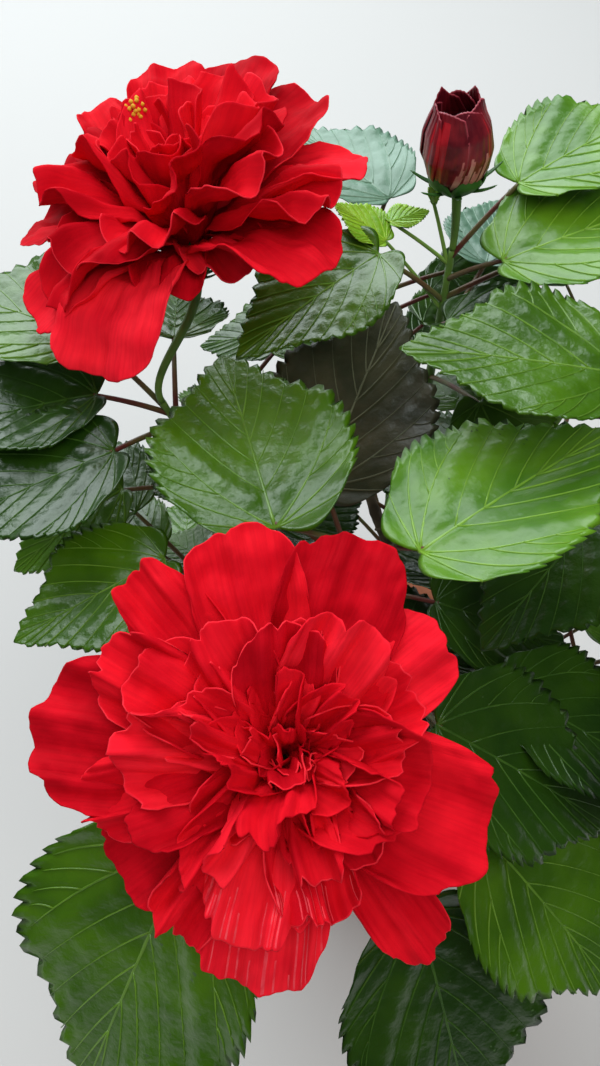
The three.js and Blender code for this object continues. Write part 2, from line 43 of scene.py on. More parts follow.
GAP = 0.3
POT = Values(
    height=150, rim_radius=88, band_height=28, band_proud=4, band_foot_radius=80,
    foot_radius=60, wall=7, floor=9, edge=3,
)
DRAIN = Values(count=4, radius=5, ring=34)
SOIL_TOP = 132
TRUNK = Values(lean=(-3, 3), top=214, foot_radius=8.5, top_radius=5.5, flare=5, flare_height=16)
BOUGH = Values(foot_radius=4.6, side_radius=3, tip_radius=2.3, outward=0.8, upward=0.6, bend=0.33)
STEM = Values(foot_radius=2.2, tip_radius=1.3)
STALK = Values(foot_radius=1.25, tip_radius=1.9, rise=0.3, seat=0.4)
PETIOLE = Values(radius=0.9, arch=0.06)
BLADE = Values(
    width=0.84, sag=0.08, lobe=0.08, shoulder=0.04,
    fold=0.16, start=0.2, full=1.05, narrow=0.2, tip=0.993,
)
RULE = Values(
    turn=137.5, first=0.12, last=0.98, length=(61, 78), young=0.62, petiole=(27, 44), rise=0.62,
    slope=(-16, -4), droop=18, roll=(-8, 8),
    tries=24, aside=24, shorter=0.015, further=0.03, further_steps=7, lower=0.08, lower_steps=5,
)
CROWN = Values(reach=158, low=152)
CLEAR = Values(blade=3.2, edge=5, limb=5.5, near=30, apart=190)
SAMPLES = Values(along=7, across=3, half=3.2, petiole=8, limb=24)

BOUGHS = [
    ("front", 168, "front_left", {"front_right": 0.5, "front_low": 0.36}),
    ("right", 176, "right", {"right_front": 0.5, "right_low": 0.2, "right_back": 0.6}),
    ("left", 182, "back_left", {"left": 0.55, "left_low": 0.18}),
    ("back", 192, "bud_shoot", {"back": 0.45, "back_low": 0.18}),
    ("centre", 207, "centre", {}),
]

# Each shoot: name, foot, tip, how many leaves the rule adds, their starting bearing, and the placed
# leaves: share of the stem, blade foot x, y, z, length, heading, slope, roll and look
# The pale look paints the glare of the light on a leaf into its colour, a painted reflection
SHOOTS = [
    ("front_left", (-32, -50, 262), (-46, -80, 303), 4, 170, [
        (0.9, -74, -119, 320, 102, 237, -42, 0, "rich"),
    ]),
    ("front_right", (8, -42, 262), (2, -76, 322), 2, 40, [
        (0.97, 2, -87, 339, 72, 341, -25, 0, "deep"),
        (0.7, 30, -68, 323, 66, 338, -18, -10, "deep"),
        (0.6, 17, -112, 314, 74, 320, -31, 0, "rich"),
    ]),
    ("front_low", (2, -56, 216), (3, -108, 268), 4, 230, [
        (0.95, -3, -133, 300, 82, 290, -40, 0, "deep"),
    ]),
    ("centre", (-16, -16, 290), (-25, -36, 366), 1, 320, [
        (0.95, -47.5, -39, 376, 79, 105, 4, 0, "rich"),
        (0.9, -4, -47, 375, 78, 34, 10, -12, "bright"),
        (0.55, -32, 4, 342, 78, 66, 28, 0, "dull"),
        (0.3, 10, -30, 316, 62, 352, -20, 0, "deep"),
    ]),
    ("left", (-52, -16, 262), (-78, -24, 322), 4, 250, [
        (0.9, -86, -30, 345, 58, 206, -9, 0, "rich"),
    ]),
    ("back_left", (-58, 14, 290), (-90, 27, 362), 4, 90, [
        (0.95, -115, 44, 377, 70, 154, 2, 0, "rich"),
        (0.93, -113, 27, 366, 60, 188, -5, 0, "deep"),
        (0.86, -104, 2, 364, 66, 202, -8, 0, "deep"),
    ]),
    ("back", (-12, 74, 290), (-14, 112, 362), 6, 60, [
        (0.95, -5, 110, 390, 60, 128, 6, 0, "pale"),
    ]),
    ("bud_shoot", (12, 58, 312), (17, 80, 388), 2, 200, [
        (0.97, 38, 87, 411, 60, 27, 17, 0, "bright"),
        (0.86, 31, 59, 399, 68, 15, 16, 0, "bright"),
        (0.5, 34, 92, 373, 48, 75, 2, 0, "pale"),
        (0.75, -11, 74, 391, 66, 215, -11, 0, "rich"),
        (0.6, 14, 54, 376, 55, 335, 12, 0, "deep"),
        (0.7, -8, 83, 390, 24, 150, 25, 0, "young"),
        (0.93, -6, 90, 393, 17, 25, 5, 0, "young"),
        (0.9, 9, 89, 402, 12, 100, 62, 50, "young"),
    ]),
    ("right", (58, 4, 285), (88, 4, 366), 5, 330, [
        (0.97, 60, 2, 400, 70, 172, 6, 0, "rich"),
        (0.8, 66, -11, 349, 66, 224, -20, 6, "deep"),
    ]),
    ("right_front", (48, -36, 258), (80, -58, 318), 7, 320, []),
    ("right_back", (52, 48, 275), (86, 72, 345), 8, 40, []),
    ("left_low", (-48, 8, 196), (-100, 12, 222), 7, 180, []),
    ("right_low", (50, -6, 198), (102, -14, 226), 8, 0, []),
    ("back_low", (4, 56, 208), (10, 108, 238), 8, 90, []),
]
FIRST_SEED = 71

# Each bloom: node, shoot, calyx, lean, bearing, and its outer petals: bearing, length, width, and
# the angles from the axis at which a petal sets out and ends
# shaded gives the bearings between which the outer petals take darker looks, painted shade; the
# other outer petals take brighter looks, painted light
BLOOMS = [
    Values(
        node="bloom_front", shoot="front_left", calyx=(-44, -94, 331), lean=21, bearing=268,
        outer=[
            (340, 66, 57, 30, 100), (38, 62, 42, 40, 88), (69, 71, 52, 42, 92),
            (103, 72, 48, 44, 92), (130, 73, 34, 44, 94), (172, 75, 60, 46, 102),
            (214, 58, 44, 46, 104), (262, 64, 50, 44, 110), (308, 68, 30, 46, 106),
        ],
        heart="open", seed=11, cup=0.16, stamens=False, jagged=0.85, crisp=0.7, shaded=(50, 240),
    ),
    Values(
        node="bloom_back", shoot="back_left", calyx=(-77, 60, 394), lean=15, bearing=125,
        outer=[
            (245, 68, 56, 48, 156), (212, 62, 50, 50, 138), (316, 66, 56, 45, 122),
            (356, 68, 42, 40, 98), (178, 58, 50, 42, 108), (150, 62, 52, 36, 92),
            (120, 66, 48, 28, 70), (92, 71, 44, 28, 62), (62, 72, 54, 32, 66), (30, 68, 54, 34, 76),
        ],
        heart="upright", seed=12, cup=0.3, stamens=True, jagged=0.4, crisp=0.2, shaded=(20, 200),
    ),
]
BUD = Values(shoot="bud_shoot", calyx=(15, 82, 414), lean=8, bearing=180, height=31, radius=12)
BUD_PROFILE = [(0, 0.5), (0.2, 0.87), (0.42, 1), (0.66, 0.92), (0.88, 0.66), (1.1, 0.5)]
BUD_LIPS = [
    (0.91, 0.11), (0.92, 0.02), (0.93, 0.12), (0.92, 0.04), (0.93, 0), (0.91, 0.01), (0.93, 0.05),
]
BUD_RED = {3: (0.84, 0.98), 4: (0.5, 0.64)}
BUD_PALE = {4: (0.86, 0.98), 5: (0.58, 0.9)}
BLOOM_SPACE = Values(below=4, depth=80, neck=12, spread=60, taper=30)

# Small helpers

UP = np.array([0.0, 0.0, 1.0])
SEQUENCE = Values(times=1664525, plus=1013904223, span=4294967296)
LUMP_SIZES = (0.6, 1.7)


def unit(v):
    return v / np.linalg.norm(v, axis=-1, keepdims=True)


def direction(bearing, slope):
    """The direction at a bearing and a slope above the horizontal, in degrees."""
    b, s = math.radians(bearing), math.radians(slope)
    return np.array([math.cos(b) * math.cos(s), math.sin(b) * math.cos(s), math.sin(s)])


def seeded(seed):
    """The source's numbers from 0 to 1."""
    state = seed
    while True:
        state = (state * SEQUENCE.times + SEQUENCE.plus) % SEQUENCE.span
        yield state / SEQUENCE.span


def between(random, limits):
    low, high = limits
    return low + (high - low) * next(random)


def bezier(controls, shares):
    """Points of a Bezier curve at shares of it from 0 to 1."""
    shares = np.atleast_1d(shares)[:, None]
    points = [np.asarray(p, float) for p in controls]
    while len(points) > 1:
        points = [a + (b - a) * shares for a, b in zip(points, points[1:])]
    return points[0]


def ease(x, low, high):
    """From 0 at low to 1 at high, with level ends."""
    t = np.clip((x - low) / (high - low), 0, 1)
    return t * t * (3 - 2 * t)


def lumps(points, size, seed, waves=10):
    """A smooth uneven value of about -1 to 1 at each point, with lumps of about that size."""
    rng = np.random.default_rng(seed)
    total = np.zeros(points.shape[:-1])
    for _ in range(waves):
        way = unit(rng.normal(size=points.shape[-1]))
        pitch = 2 * math.pi / size * rng.uniform(*LUMP_SIZES)
        total += np.sin(points @ way * pitch + rng.uniform(0, 2 * math.pi))
    return total / math.sqrt(waves)


# Limbs, as in the source

SHOOT = {}
for name, *ends in [shoot[:3] for shoot in SHOOTS]:
    foot, tip = np.array(ends, float)
    SHOOT[name] = Values(foot=foot, tip=tip, ahead=unit(tip - foot))


def trunk_controls():
    middle = (0, 0, (SOIL_TOP + TRUNK.top) / 2)
    return [(0, 0, SOIL_TOP + GAP), middle, (*TRUNK.lean, TRUNK.top)]


def limb_controls(start, shoot):
    end = shoot.foot
    reach = np.linalg.norm(end - start) * BOUGH.bend
    out = end - start
    out[2] = 0
    out = unit(out) * BOUGH.outward
    out[2] = BOUGH.upward
    return [start, start + out * reach, end - shoot.ahead * reach, end]


def bough_controls(bough):
    _, fork, leader, sides = bough
    share = (fork - SOIL_TOP) / (TRUNK.top - SOIL_TOP)
    lead = limb_controls(bezier(trunk_controls(), share)[0], SHOOT[leader])
    return [lead] + [limb_controls(bezier(lead, at)[0], SHOOT[name]) for name, at in sides.items()]


def stem_controls(shoot):
    return [shoot.foot + shoot.ahead * GAP, shoot.tip]


def flower_axis(flower):
    return direction(flower.bearing, 90 - flower.lean)


def stalk_controls(flower):
    shoot = SHOOT[flower.shoot]
    start = shoot.tip + shoot.ahead * GAP
    end = np.array(flower.calyx, float)
    span = np.linalg.norm(end - start)
    rise = start + shoot.ahead * span * STALK.rise
    return [start, rise, end - flower_axis(flower) * span * STALK.seat, end]


# The growth of the leaves, as in the source


def blade_shape(v):
    start = BLADE.start
    return np.sin(math.pi * (start + (1 - start) * v)) * (BLADE.full - BLADE.narrow * v)


def blade_plane(u, v):
    """Where a blade's point lies in its plane, along and across, in shares of its length."""
    back = BLADE.lobe * np.sin(math.pi * np.abs(u)) - BLADE.shoulder * u * u
    return v - back * (1 - v) ** 3, 0.5 * BLADE.width * blade_shape(v) * u


class Leaf:
    """A leaf's frame, with the spots on its blade and petiole that clearances are tested at."""

    def __init__(self, shoot, node, foot, length, heading, slope, roll, look="mixed"):
        self.shoot, self.node, self.foot, self.length, self.look = shoot, node, foot, length, look
        self.ahead = direction(heading, slope)
        level = direction(heading + 90, 0)
        r = math.radians(roll)
        self.left = level * math.cos(r) + np.cross(self.ahead, level) * math.sin(r)
        self.normal = np.cross(self.ahead, self.left)
        v, u = np.meshgrid(
            np.arange(SAMPLES.along + 1) / SAMPLES.along,
            np.arange(-SAMPLES.across, SAMPLES.across + 1) / SAMPLES.half,
            indexing="ij",
        )
        x, y = blade_plane(u.ravel(), v.ravel())
        self.spots = self.place(x * length, y * length, self.height(x * length, y * length))
        shares = np.arange(1, SAMPLES.petiole) / SAMPLES.petiole
        self.petiole = bezier(self.petiole_controls(), shares)

    def place(self, x, y, z):
        ways = self.ahead, self.left, self.normal
        ahead, left, up = map(np.multiply.outer, (x, y, z), ways)
        return self.foot + ahead + left + up

    def height(self, x, y):
        along = np.clip(x / self.length, 0, 1)
        return BLADE.fold * np.abs(y) - self.length * BLADE.sag * along * along

    def petiole_controls(self):
        middle = (self.node + self.foot) / 2
        middle[2] += PETIOLE.arch * np.linalg.norm(self.foot - self.node)
        return [self.node, middle, self.foot]

    def crosses(self, groups):
        """True where a group of points comes too near to the blade or lies on both sides of it."""
        offset = groups - self.foot
        x, y = offset @ self.ahead, offset @ self.left
        length, edge = self.length, CLEAR.edge
        half = length * 0.5 * BLADE.width * blade_shape(np.clip(x / length, 0, 1)) + edge
        inside = (x >= -BLADE.lobe * length - edge) & (x <= length + edge)
        over = offset @ self.normal - self.height(x, y)
        counts = inside & (np.abs(y) <= half) & (np.abs(over) <= CLEAR.near)
        close = (counts & (np.abs(over) < CLEAR.blade)).any()
        return close or ((counts & (over > 0)).any(-1) & (counts & (over < 0)).any(-1)).any()


def any_near(some, others):
    return (np.linalg.norm(some[:, None] - others.reshape(1, -1, 3), axis=-1) < CLEAR.limb).any()


def in_bloom(flower, points):
    axis = flower_axis(flower)
    offset = points - np.array(flower.calyx, float)
    along = offset @ axis
    height = along + BLOOM_SPACE.below
    reach = np.linalg.norm(offset - np.multiply.outer(along, axis), axis=-1)
    widening = np.minimum(1, height / BLOOM_SPACE.taper)
    near = reach < BLOOM_SPACE.neck + BLOOM_SPACE.spread * widening
    return ((height > 0) & (height < BLOOM_SPACE.depth) & near).any()


def clashes(leaf, grown, limbs):
    spots = leaf.spots
    x, y, z = spots.T
    if (np.hypot(x, y) > CROWN.reach).any() or (z < CROWN.low).any():
        return True
    if any(in_bloom(bloom, np.vstack([spots, leaf.petiole])) for bloom in BLOOMS):
        return True
    if leaf.crosses(limbs) or any_near(leaf.petiole[2:], limbs):
        return True
    for other in grown:
        if np.linalg.norm(leaf.foot - other.foot) > CLEAR.apart:
            continue
        if leaf.crosses(other.spots) or leaf.crosses(other.petiole):
            return True
        if other.crosses(spots) or other.crosses(leaf.petiole):
            return True
        if other.shoot != leaf.shoot and any_near(leaf.petiole, other.petiole):
            return True
    return False


def rule_leaf(name, more, start, i, random, grown, limbs):
    share = RULE.first + (RULE.last - RULE.first) * (i + 0.5) / more
    node = bezier(stem_controls(SHOOT[name]), share)[0]
    length = between(random, RULE.length) * (1 - (1 - RULE.young) * share * share)
    petiole = between(random, RULE.petiole)
    slope = between(random, RULE.slope) - RULE.droop * (1 - share)
    roll = between(random, RULE.roll)
    for k in range(RULE.tries):
        aside = (1 if k % 2 else -1) * math.ceil(k / 2) * RULE.aside
        bearing = start + RULE.turn * i + aside
        reach = petiole * (1 + RULE.further * (k % RULE.further_steps))
        foot = node + direction(bearing, 0) * reach
        foot[2] += reach * (RULE.rise - RULE.lower * (k % RULE.lower_steps))
        leaf = Leaf(name, node, foot, length * (1 - RULE.shorter * k), bearing, slope, roll)
        if not clashes(leaf, grown, limbs):
            return leaf
    return None


def grow_leaves():
    """Every leaf: first the placed ones, then those that the rule adds clear of what has grown."""
    controls = [trunk_controls()] + [c for bough in BOUGHS for c in bough_controls(bough)]
    controls += [stem_controls(shoot) for shoot in SHOOT.values()]
    controls += [stalk_controls(flower) for flower in BLOOMS + [BUD]]
    shares = np.arange(1, SAMPLES.limb + 1) / SAMPLES.limb
    limbs = np.array([bezier(c, shares) for c in controls])
    grown = []
    for name, _, _, _, _, placed in SHOOTS:
        for share, x, y, z, *rest in placed:
            node = bezier(stem_controls(SHOOT[name]), share)[0]
            grown.append(Leaf(name, node, np.array([x, y, z], float), *rest))
    for index, (name, _, _, more, start, _) in enumerate(SHOOTS):
        random = seeded(FIRST_SEED + index)
        for i in range(more):
            leaf = rule_leaf(name, more, start, i, random, grown, limbs)
            if leaf:
                grown.append(leaf)
    return grown


# Meshes

PER_METRE = 1000
LEAST = 1e-12


class Mesh:
    """Points and faces gathered for one piece. Each face has a look, the name of a material."""

    def __init__(self):
        self.points, self.faces, self.looks, self.maps, self.count = [], [], [], [], 0

    def add(self, points, faces, look, where=None):
        """Adds arrays of faces. look is one name, or a name for each face of a single array."""
        points = points.reshape(-1, 3)
        self.points.append(points)
        self.maps.append(np.zeros((len(points), 2)) if where is None else where.reshape(-1, 2))
        for part in faces:
            self.faces.append(part + self.count)
            self.looks += [look] * len(part) if isinstance(look, str) else list(look)
        self.count += len(points)

    def build(self, name, slot, nodes=()):
        points = np.concatenate(self.points) / PER_METRE
        corners = np.concatenate([part.ravel() for part in self.faces])
        sizes = np.concatenate([np.full(len(part), part.shape[1]) for part in self.faces])
        starts = np.concatenate([[0], np.cumsum(sizes)[:-1]])
        names = sorted(set(self.looks))
        index = {look: i for i, look in enumerate(names)}
        mesh = bpy.data.meshes.new(name)
        mesh.vertices.add(len(points))
        mesh.vertices.foreach_set("co", points.astype(np.float32).ravel())
        mesh.loops.add(len(corners))
        mesh.loops.foreach_set("vertex_index", corners.astype(np.int32))
        mesh.polygons.add(len(sizes))
        mesh.polygons.foreach_set("loop_start", starts.astype(np.int32))
        for look in names:
            mesh.materials.append(material(look))
        chosen = np.array([index[look] for look in self.looks], np.int32)
        mesh.polygons.foreach_set("material_index", chosen)
        mesh.update(calc_edges=True)
        mesh.shade_smooth()
        places = np.concatenate(self.maps)[corners].astype(np.float32)
        mesh.uv_layers.new(name="Grain").data.foreach_set("uv", places.ravel())
        piece = bpy.data.objects.new(name, mesh)
        bpy.context.scene.collection.objects.link(piece)
        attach(piece, "root")
        if nodes:
            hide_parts(*nodes)
        return piece


def grid_faces(rows, columns, wrap=False):
    """Quads between a grid's points, with a last column that joins the first where it wraps."""
    index = np.arange(rows * columns).reshape(rows, columns)
    following = np.roll(index, -1, axis=1) if wrap else index[:, 1:]
    index = index if wrap else index[:, :-1]
    return np.stack([index[:-1], following[:-1], following[1:], index[1:]], axis=-1).reshape(-1, 4)


def grid_normals(grid):
    across = np.gradient(grid, axis=1)
    along = np.gradient(grid, axis=0)
    return unit(np.cross(across, along) + LEAST)


def add_sheet(mesh, grid, thick, look, where=None, rim=None, under=None, marks=()):
    """A closed thin body whose two faces share their margin. under is the lower face's look, rim
    the look of the end and of the outer two thirds of the sides, and marks are stretches of a
    column, from a row to a row, with a look of their own."""
    rows, columns = grid.shape[:2]
    depth = np.zeros((rows, columns, 1))
    depth[1:-1, 1:-1] = thick / 2
    normals = grid_normals(grid)
    lower = (grid - normals * depth)[1:-1, 1:-1]
    points = np.concatenate([(grid + normals * depth).reshape(-1, 3), lower.reshape(-1, 3)])
    faces = grid_faces(rows, columns)
    mirror = np.arange(rows * columns).reshape(rows, columns)
    mirror[1:-1, 1:-1] = np.arange(rows * columns, len(points)).reshape(rows - 2, columns - 2)
    back = mirror.ravel()[faces][:, ::-1]
    looks = [np.full((rows - 1, columns - 1), name, dtype=object) for name in (look, under or look)]
    for side in looks:
        if rim:
            side[-1] = rim
            side[rows // 3:, [0, -1]] = rim
        for first, last, column, marked in marks:
            side[first:last, column] = marked
    if where is not None:
        where = np.concatenate([where.reshape(-1, 2), where[1:-1, 1:-1].reshape(-1, 2)])
    mesh.add(points, [np.concatenate([faces, back])], np.concatenate(looks).ravel(), where)


def add_closed(mesh, rings, ends, look):
    """Rings of points that follow one another, closed by a fan to a point at each end."""
    count, sides = rings.shape[:2]
    low = np.arange(sides)
    high = low + (count - 1) * sides
    first, last = np.full(sides, count * sides), np.full(sides, count * sides + 1)
    caps = [np.stack([np.roll(low, -1), low, first], -1),
            np.stack([high, np.roll(high, -1), last], -1)]
    points = np.concatenate([rings.reshape(-1, 3), ends])
    mesh.add(points, [grid_faces(count, sides, wrap=True), *caps], look)


def turns_of(sides):
    return np.arange(sides) / sides * 2 * math.pi


def frames_along(path):
    """Two directions across a path at each of its points, carried along without twist."""
    tangent = unit(np.gradient(path, axis=0))
    side = np.zeros_like(path)
    start = np.eye(3)[np.argmin(np.abs(tangent[0]))]
    side[0] = unit(np.cross(tangent[0], start))
    for i in range(1, len(path)):
        side[i] = unit(side[i - 1] - tangent[i] * (side[i - 1] @ tangent[i]))
    return side, np.cross(tangent, side)


def add_tube(mesh, path, radii, sides, look, relief=None):
    """A round limb along a path, with closed ends. relief(points) adds to its radius."""
    side, over = frames_along(path)
    turn = turns_of(sides)[None, :, None]
    around = side[:, None] * np.cos(turn) + over[:, None] * np.sin(turn)
    radii = np.broadcast_to(radii, (len(path),))[:, None]
    if relief:
        radii = radii + relief(path[:, None] + around * radii[..., None])
    add_closed(mesh, path[:, None] + around * radii[..., None], path[[0, -1]], look)


def around_axis(radius, height, turn):
    return np.stack([radius * np.cos(turn), radius * np.sin(turn), height], -1)


def add_turned(mesh, profile, sides, look, relief):
    """A solid of revolution from points of radius and height that start and end on the axis.
    relief(radius, height, points) gives the final radius and height."""
    profile = np.array(profile, float)
    turn = turns_of(sides)
    radius = np.repeat(profile[1:-1, :1], sides, axis=1)
    height = np.repeat(profile[1:-1, 1:], sides, axis=1)
    radius, height = relief(radius, height, around_axis(radius, height, turn))
    ends = np.array([[0, 0, profile[0, 1]], [0, 0, profile[-1, 1]]])
    add_closed(mesh, around_axis(radius, height, turn), ends, look)


# Materials

# Each look: base colour, darker or lighter second colour, roughness, bump strength, and the size
# of its patches and its grain in millimetres
LOOKS = {
    "leaf_rich": ((0.064, 0.162, 0.002), (0.036, 0.104, 0.002), 0.31, 0.5, 26, 3.2),
    "leaf_deep": ((0.023, 0.067, 0.003), (0.012, 0.042, 0.003), 0.31, 0.5, 26, 3.2),
    "leaf_mixed": ((0.042, 0.112, 0.002), (0.023, 0.070, 0.002), 0.31, 0.5, 26, 3.2),
    "leaf_bright": ((0.118, 0.280, 0.010), (0.064, 0.190, 0.008), 0.36, 0.35, 22, 3.2),
    "leaf_dull": ((0.066, 0.064, 0.030), (0.036, 0.040, 0.018), 0.42, 0.5, 14, 3.2),
    # leaf_pale and vein_pale: a pale bluish green that stands in for the light's glare on a leaf, a
    # painted reflection
    "leaf_pale": ((0.160, 0.290, 0.200), (0.100, 0.210, 0.130), 0.40, 0.4, 20, 3.2),
    "leaf_young": ((0.300, 0.520, 0.014), (0.180, 0.400, 0.010), 0.38, 0.4, 12, 2.0),
    "under": ((0.070, 0.140, 0.040), (0.048, 0.100, 0.028), 0.6, 0.5, 20, 3.2),
    "vein_rich": ((0.130, 0.265, 0.022), (0.090, 0.200, 0.016), 0.33, 0.1, 10, 1.0),
    "vein_deep": ((0.048, 0.120, 0.012), (0.030, 0.085, 0.009), 0.33, 0.1, 10, 1.0),
    "vein_mixed": ((0.078, 0.180, 0.014), (0.052, 0.130, 0.011), 0.33, 0.1, 10, 1.0),
    "vein_bright": ((0.220, 0.430, 0.034), (0.160, 0.340, 0.026), 0.36, 0.1, 10, 1.0),
    "vein_dull": ((0.150, 0.160, 0.090), (0.110, 0.120, 0.065), 0.42, 0.1, 10, 1.0),
    "vein_pale": ((0.210, 0.350, 0.240), (0.150, 0.280, 0.180), 0.40, 0.1, 10, 1.0),
    "vein_young": ((0.360, 0.580, 0.040), (0.250, 0.460, 0.030), 0.38, 0.1, 10, 1.0),
    "petiole": ((0.110, 0.110, 0.032), (0.120, 0.026, 0.020), 0.42, 0.15, 14, 1.0),
    "stem": ((0.125, 0.250, 0.035), (0.075, 0.160, 0.026), 0.5, 0.25, 12, 0.8),
    "young_stalk": ((0.220, 0.380, 0.060), (0.150, 0.290, 0.045), 0.5, 0.25, 12, 0.8),
    "petal": ((0.760, 0.0075, 0.018), (0.620, 0.0040, 0.013), 0.62, 0.3, 14, 0.9),
    "petal_bright": ((0.930, 0.0170, 0.032), (0.820, 0.0100, 0.024), 0.62, 0.3, 14, 0.9),
    "petal_deep": ((0.600, 0.0040, 0.013), (0.450, 0.0025, 0.009), 0.62, 0.3, 12, 0.9),
    # petal_rim: a paler pink on petal margins that stands in for the highlight they catch, a
    # painted highlight; it is also the stamens' threads' own colour
    "petal_rim": ((0.880, 0.0300, 0.046), (0.800, 0.0150, 0.030), 0.6, 0.1, 8, 0.9),
    "petal_streak": ((0.860, 0.085, 0.105), (0.800, 0.030, 0.050), 0.6, 0.1, 4, 0.9),
    "bud": ((0.250, 0.014, 0.022), (0.115, 0.006, 0.013), 0.32, 0.3, 6, 0.7),
    "bud_red": ((0.500, 0.012, 0.022), (0.340, 0.008, 0.016), 0.36, 0.3, 6, 0.7),
    "bud_rim": ((0.380, 0.050, 0.070), (0.240, 0.020, 0.034), 0.4, 0.2, 5, 0.7),
    "bud_pale": ((0.620, 0.280, 0.220), (0.460, 0.120, 0.110), 0.4, 0.2, 5, 0.7),
    "calyx": ((0.050, 0.170, 0.022), (0.028, 0.100, 0.016), 0.48, 0.25, 6, 0.7),
    "pollen": ((0.850, 0.480, 0.030), (0.700, 0.330, 0.020), 0.8, 0.5, 2, 0.4),
    "bark": ((0.170, 0.130, 0.085), (0.080, 0.058, 0.038), 0.85, 0.9, 9, 1.1),
    "clay": ((0.480, 0.155, 0.070), (0.400, 0.118, 0.052), 0.82, 0.6, 44, 1.0),
    "soil": ((0.040, 0.024, 0.015), (0.018, 0.011, 0.007), 0.95, 1.0, 6, 1.2),
    "grit": ((0.230, 0.190, 0.140), (0.120, 0.095, 0.070), 0.9, 0.8, 4, 1.0),
}
GRAINED = {"petal", "petal_bright", "petal_deep", "bud"}
SPECULAR = {"petal": 0.03, "leaf": 0.75, "vein": 0.75}
PATCH = Values(low=0.38, high=0.64, detail=3.0)
GRAIN_DETAIL = 4.0
BUMP_DEPTH = 0.25
FIBRE = Values(
    stretch=(1.0, 0.045, 1.0), scale=1.1, detail=3.0, low=0.38, high=0.58, strength=0.25,
    line=(0.6, 0.45, 0.5),
)
WHITE = (1, 1, 1)


def new_material(name, roughness):
    made = bpy.data.materials.new(name)
    made.use_nodes = True
    shader = made.node_tree.nodes["Principled BSDF"]
    shader.inputs["Roughness"].default_value = roughness
    return made, shader


def new_node(tree, kind, inputs, **settings):
    """A node with its settings. Each input is a constant or the output that feeds it."""
    node = tree.nodes.new(kind)
    for name, value in settings.items():
        setattr(node, name, value)
    for name, value in inputs.items():
        if isinstance(value, bpy.types.NodeSocket):
            tree.links.new(value, node.inputs[name])
        else:
            node.inputs[name].default_value = value
    return node


def noise(tree, vector, scale, detail):
    inputs = {"Vector": vector, "Scale": scale, "Detail": detail}
    return new_node(tree, "ShaderNodeTexNoise", inputs).outputs["Fac"]


def ramp(tree, factor, limits, first, last):
    """A colour that goes from the first to the last between a factor's low and high limit."""
    node = new_node(tree, "ShaderNodeValToRGB", {"Fac": factor})
    stops = zip(node.color_ramp.elements, (limits.low, limits.high), (first, last))
    for stop, at, colour in stops:
        stop.position, stop.color = at, (*colour, 1)
    return node.outputs["Color"]


def fibred(tree, colour):
    """The colour with finer lines along the petal, and the lines' height."""
    grain = new_node(tree, "ShaderNodeUVMap", {}, uv_map="Grain").outputs["UV"]
    stretch = new_node(tree, "ShaderNodeMapping", {"Vector": grain, "Scale": FIBRE.stretch})
    fibres = noise(tree, stretch.outputs["Vector"], FIBRE.scale, FIBRE.detail)
    lines = ramp(tree, fibres, FIBRE, FIBRE.line, WHITE)
    inputs = {"Factor": FIBRE.strength, "A": colour, "B": lines}
    mixed = new_node(tree, "ShaderNodeMix", inputs, data_type="RGBA", blend_type="MULTIPLY")
    return mixed.outputs["Result"], fibres


def material(look):
    """The look's material, made the first time that it is asked for."""
    name = look + "_look"
    if name in bpy.data.materials:
        return bpy.data.materials[name]
    base, second, roughness, bump, patch, grain = LOOKS[look]
    made, shader = new_material(name, roughness)
    family = look.split("_")[0]
    if family in SPECULAR:
        shader.inputs["Specular IOR Level"].default_value = SPECULAR[family]
    tree = made.node_tree
    place = new_node(tree, "ShaderNodeTexCoord", {}).outputs["Object"]
    patches = noise(tree, place, PER_METRE / patch, PATCH.detail)
    colour = ramp(tree, patches, PATCH, second, base)
    if look in GRAINED:
        colour, height = fibred(tree, colour)
    else:
        height = noise(tree, place, PER_METRE / grain, GRAIN_DETAIL)
    deep = BUMP_DEPTH * grain / PER_METRE
    bumps = new_node(tree, "ShaderNodeBump", {"Strength": bump, "Distance": deep, "Height": height})
    tree.links.new(colour, shader.inputs["Base Color"])
    tree.links.new(bumps.outputs["Normal"], shader.inputs["Normal"])
    return made


# Leaves

LEAF_ROWS = 48
LEAF_COLUMNS = 24
KIND_SEEDS = (3, 4, 5)
LEAF_SEED = 9
TOOTH = Values(depth=0.022, first=0.06, rise=0.12, fade=0.9, last=0.98, power=6, forward=0.6)
TOOTH_PROFILE = np.array([0.0, 0.75, 1.0])
PINCH = Values(depth=0.2, first=0.58)
PILLOW = Values(rise=0.033, width=0.05, fine=0.026, fine_depth=0.6)
WAVE = Values(height=0.022, pitch=1.7, reach=0.42, side=0.9)
MIDRIB_ROUND = 2.0
BLADE_THICK = 0.4

# Veins of a blade, in shares of its length: where each leaves its parent and where on the margin it
# ends, how far that varies, how near to the margin it comes, and where its middle lies
MIDRIB_END = 0.975
BASAL = Values(ends=(0.50, 0.25, 0.05), vary=(0.96, 1.04), reach=0.95, middle=(0.42, 0.66))
SIDE = Values(
    spans=((0.17, 0.63), (0.31, 0.73), (0.45, 0.82), (0.59, 0.895), (0.72, 0.95)),
    foot=(-0.02, 0.03), vary=(0.985, 1.01), most=0.985, reach=0.94, middle=(0.42, 0.6),
)
BRANCH = Values(
    spans=((0.42, 0.31), (0.63, 0.38), (0.82, 0.445)), vary=(0.97, 1.03), reach=0.95, bow=0.012,
)
CROSS = Values(shares=(0.3, 0.5, 0.68, 0.85), vary=(0.92, 1.04), bow=(-0.016, 0.016))
VEIN_POINTS = dict(midrib=19, basal=10, side=8, branch=8, cross=4)
VEIN_WIDTHS = dict(midrib=1.3, basal=0.95, side=0.65, branch=0.48)
VEIN = Values(proud=0.76, sunk=0.64, spread=0.75, tip=0.35, length=80)
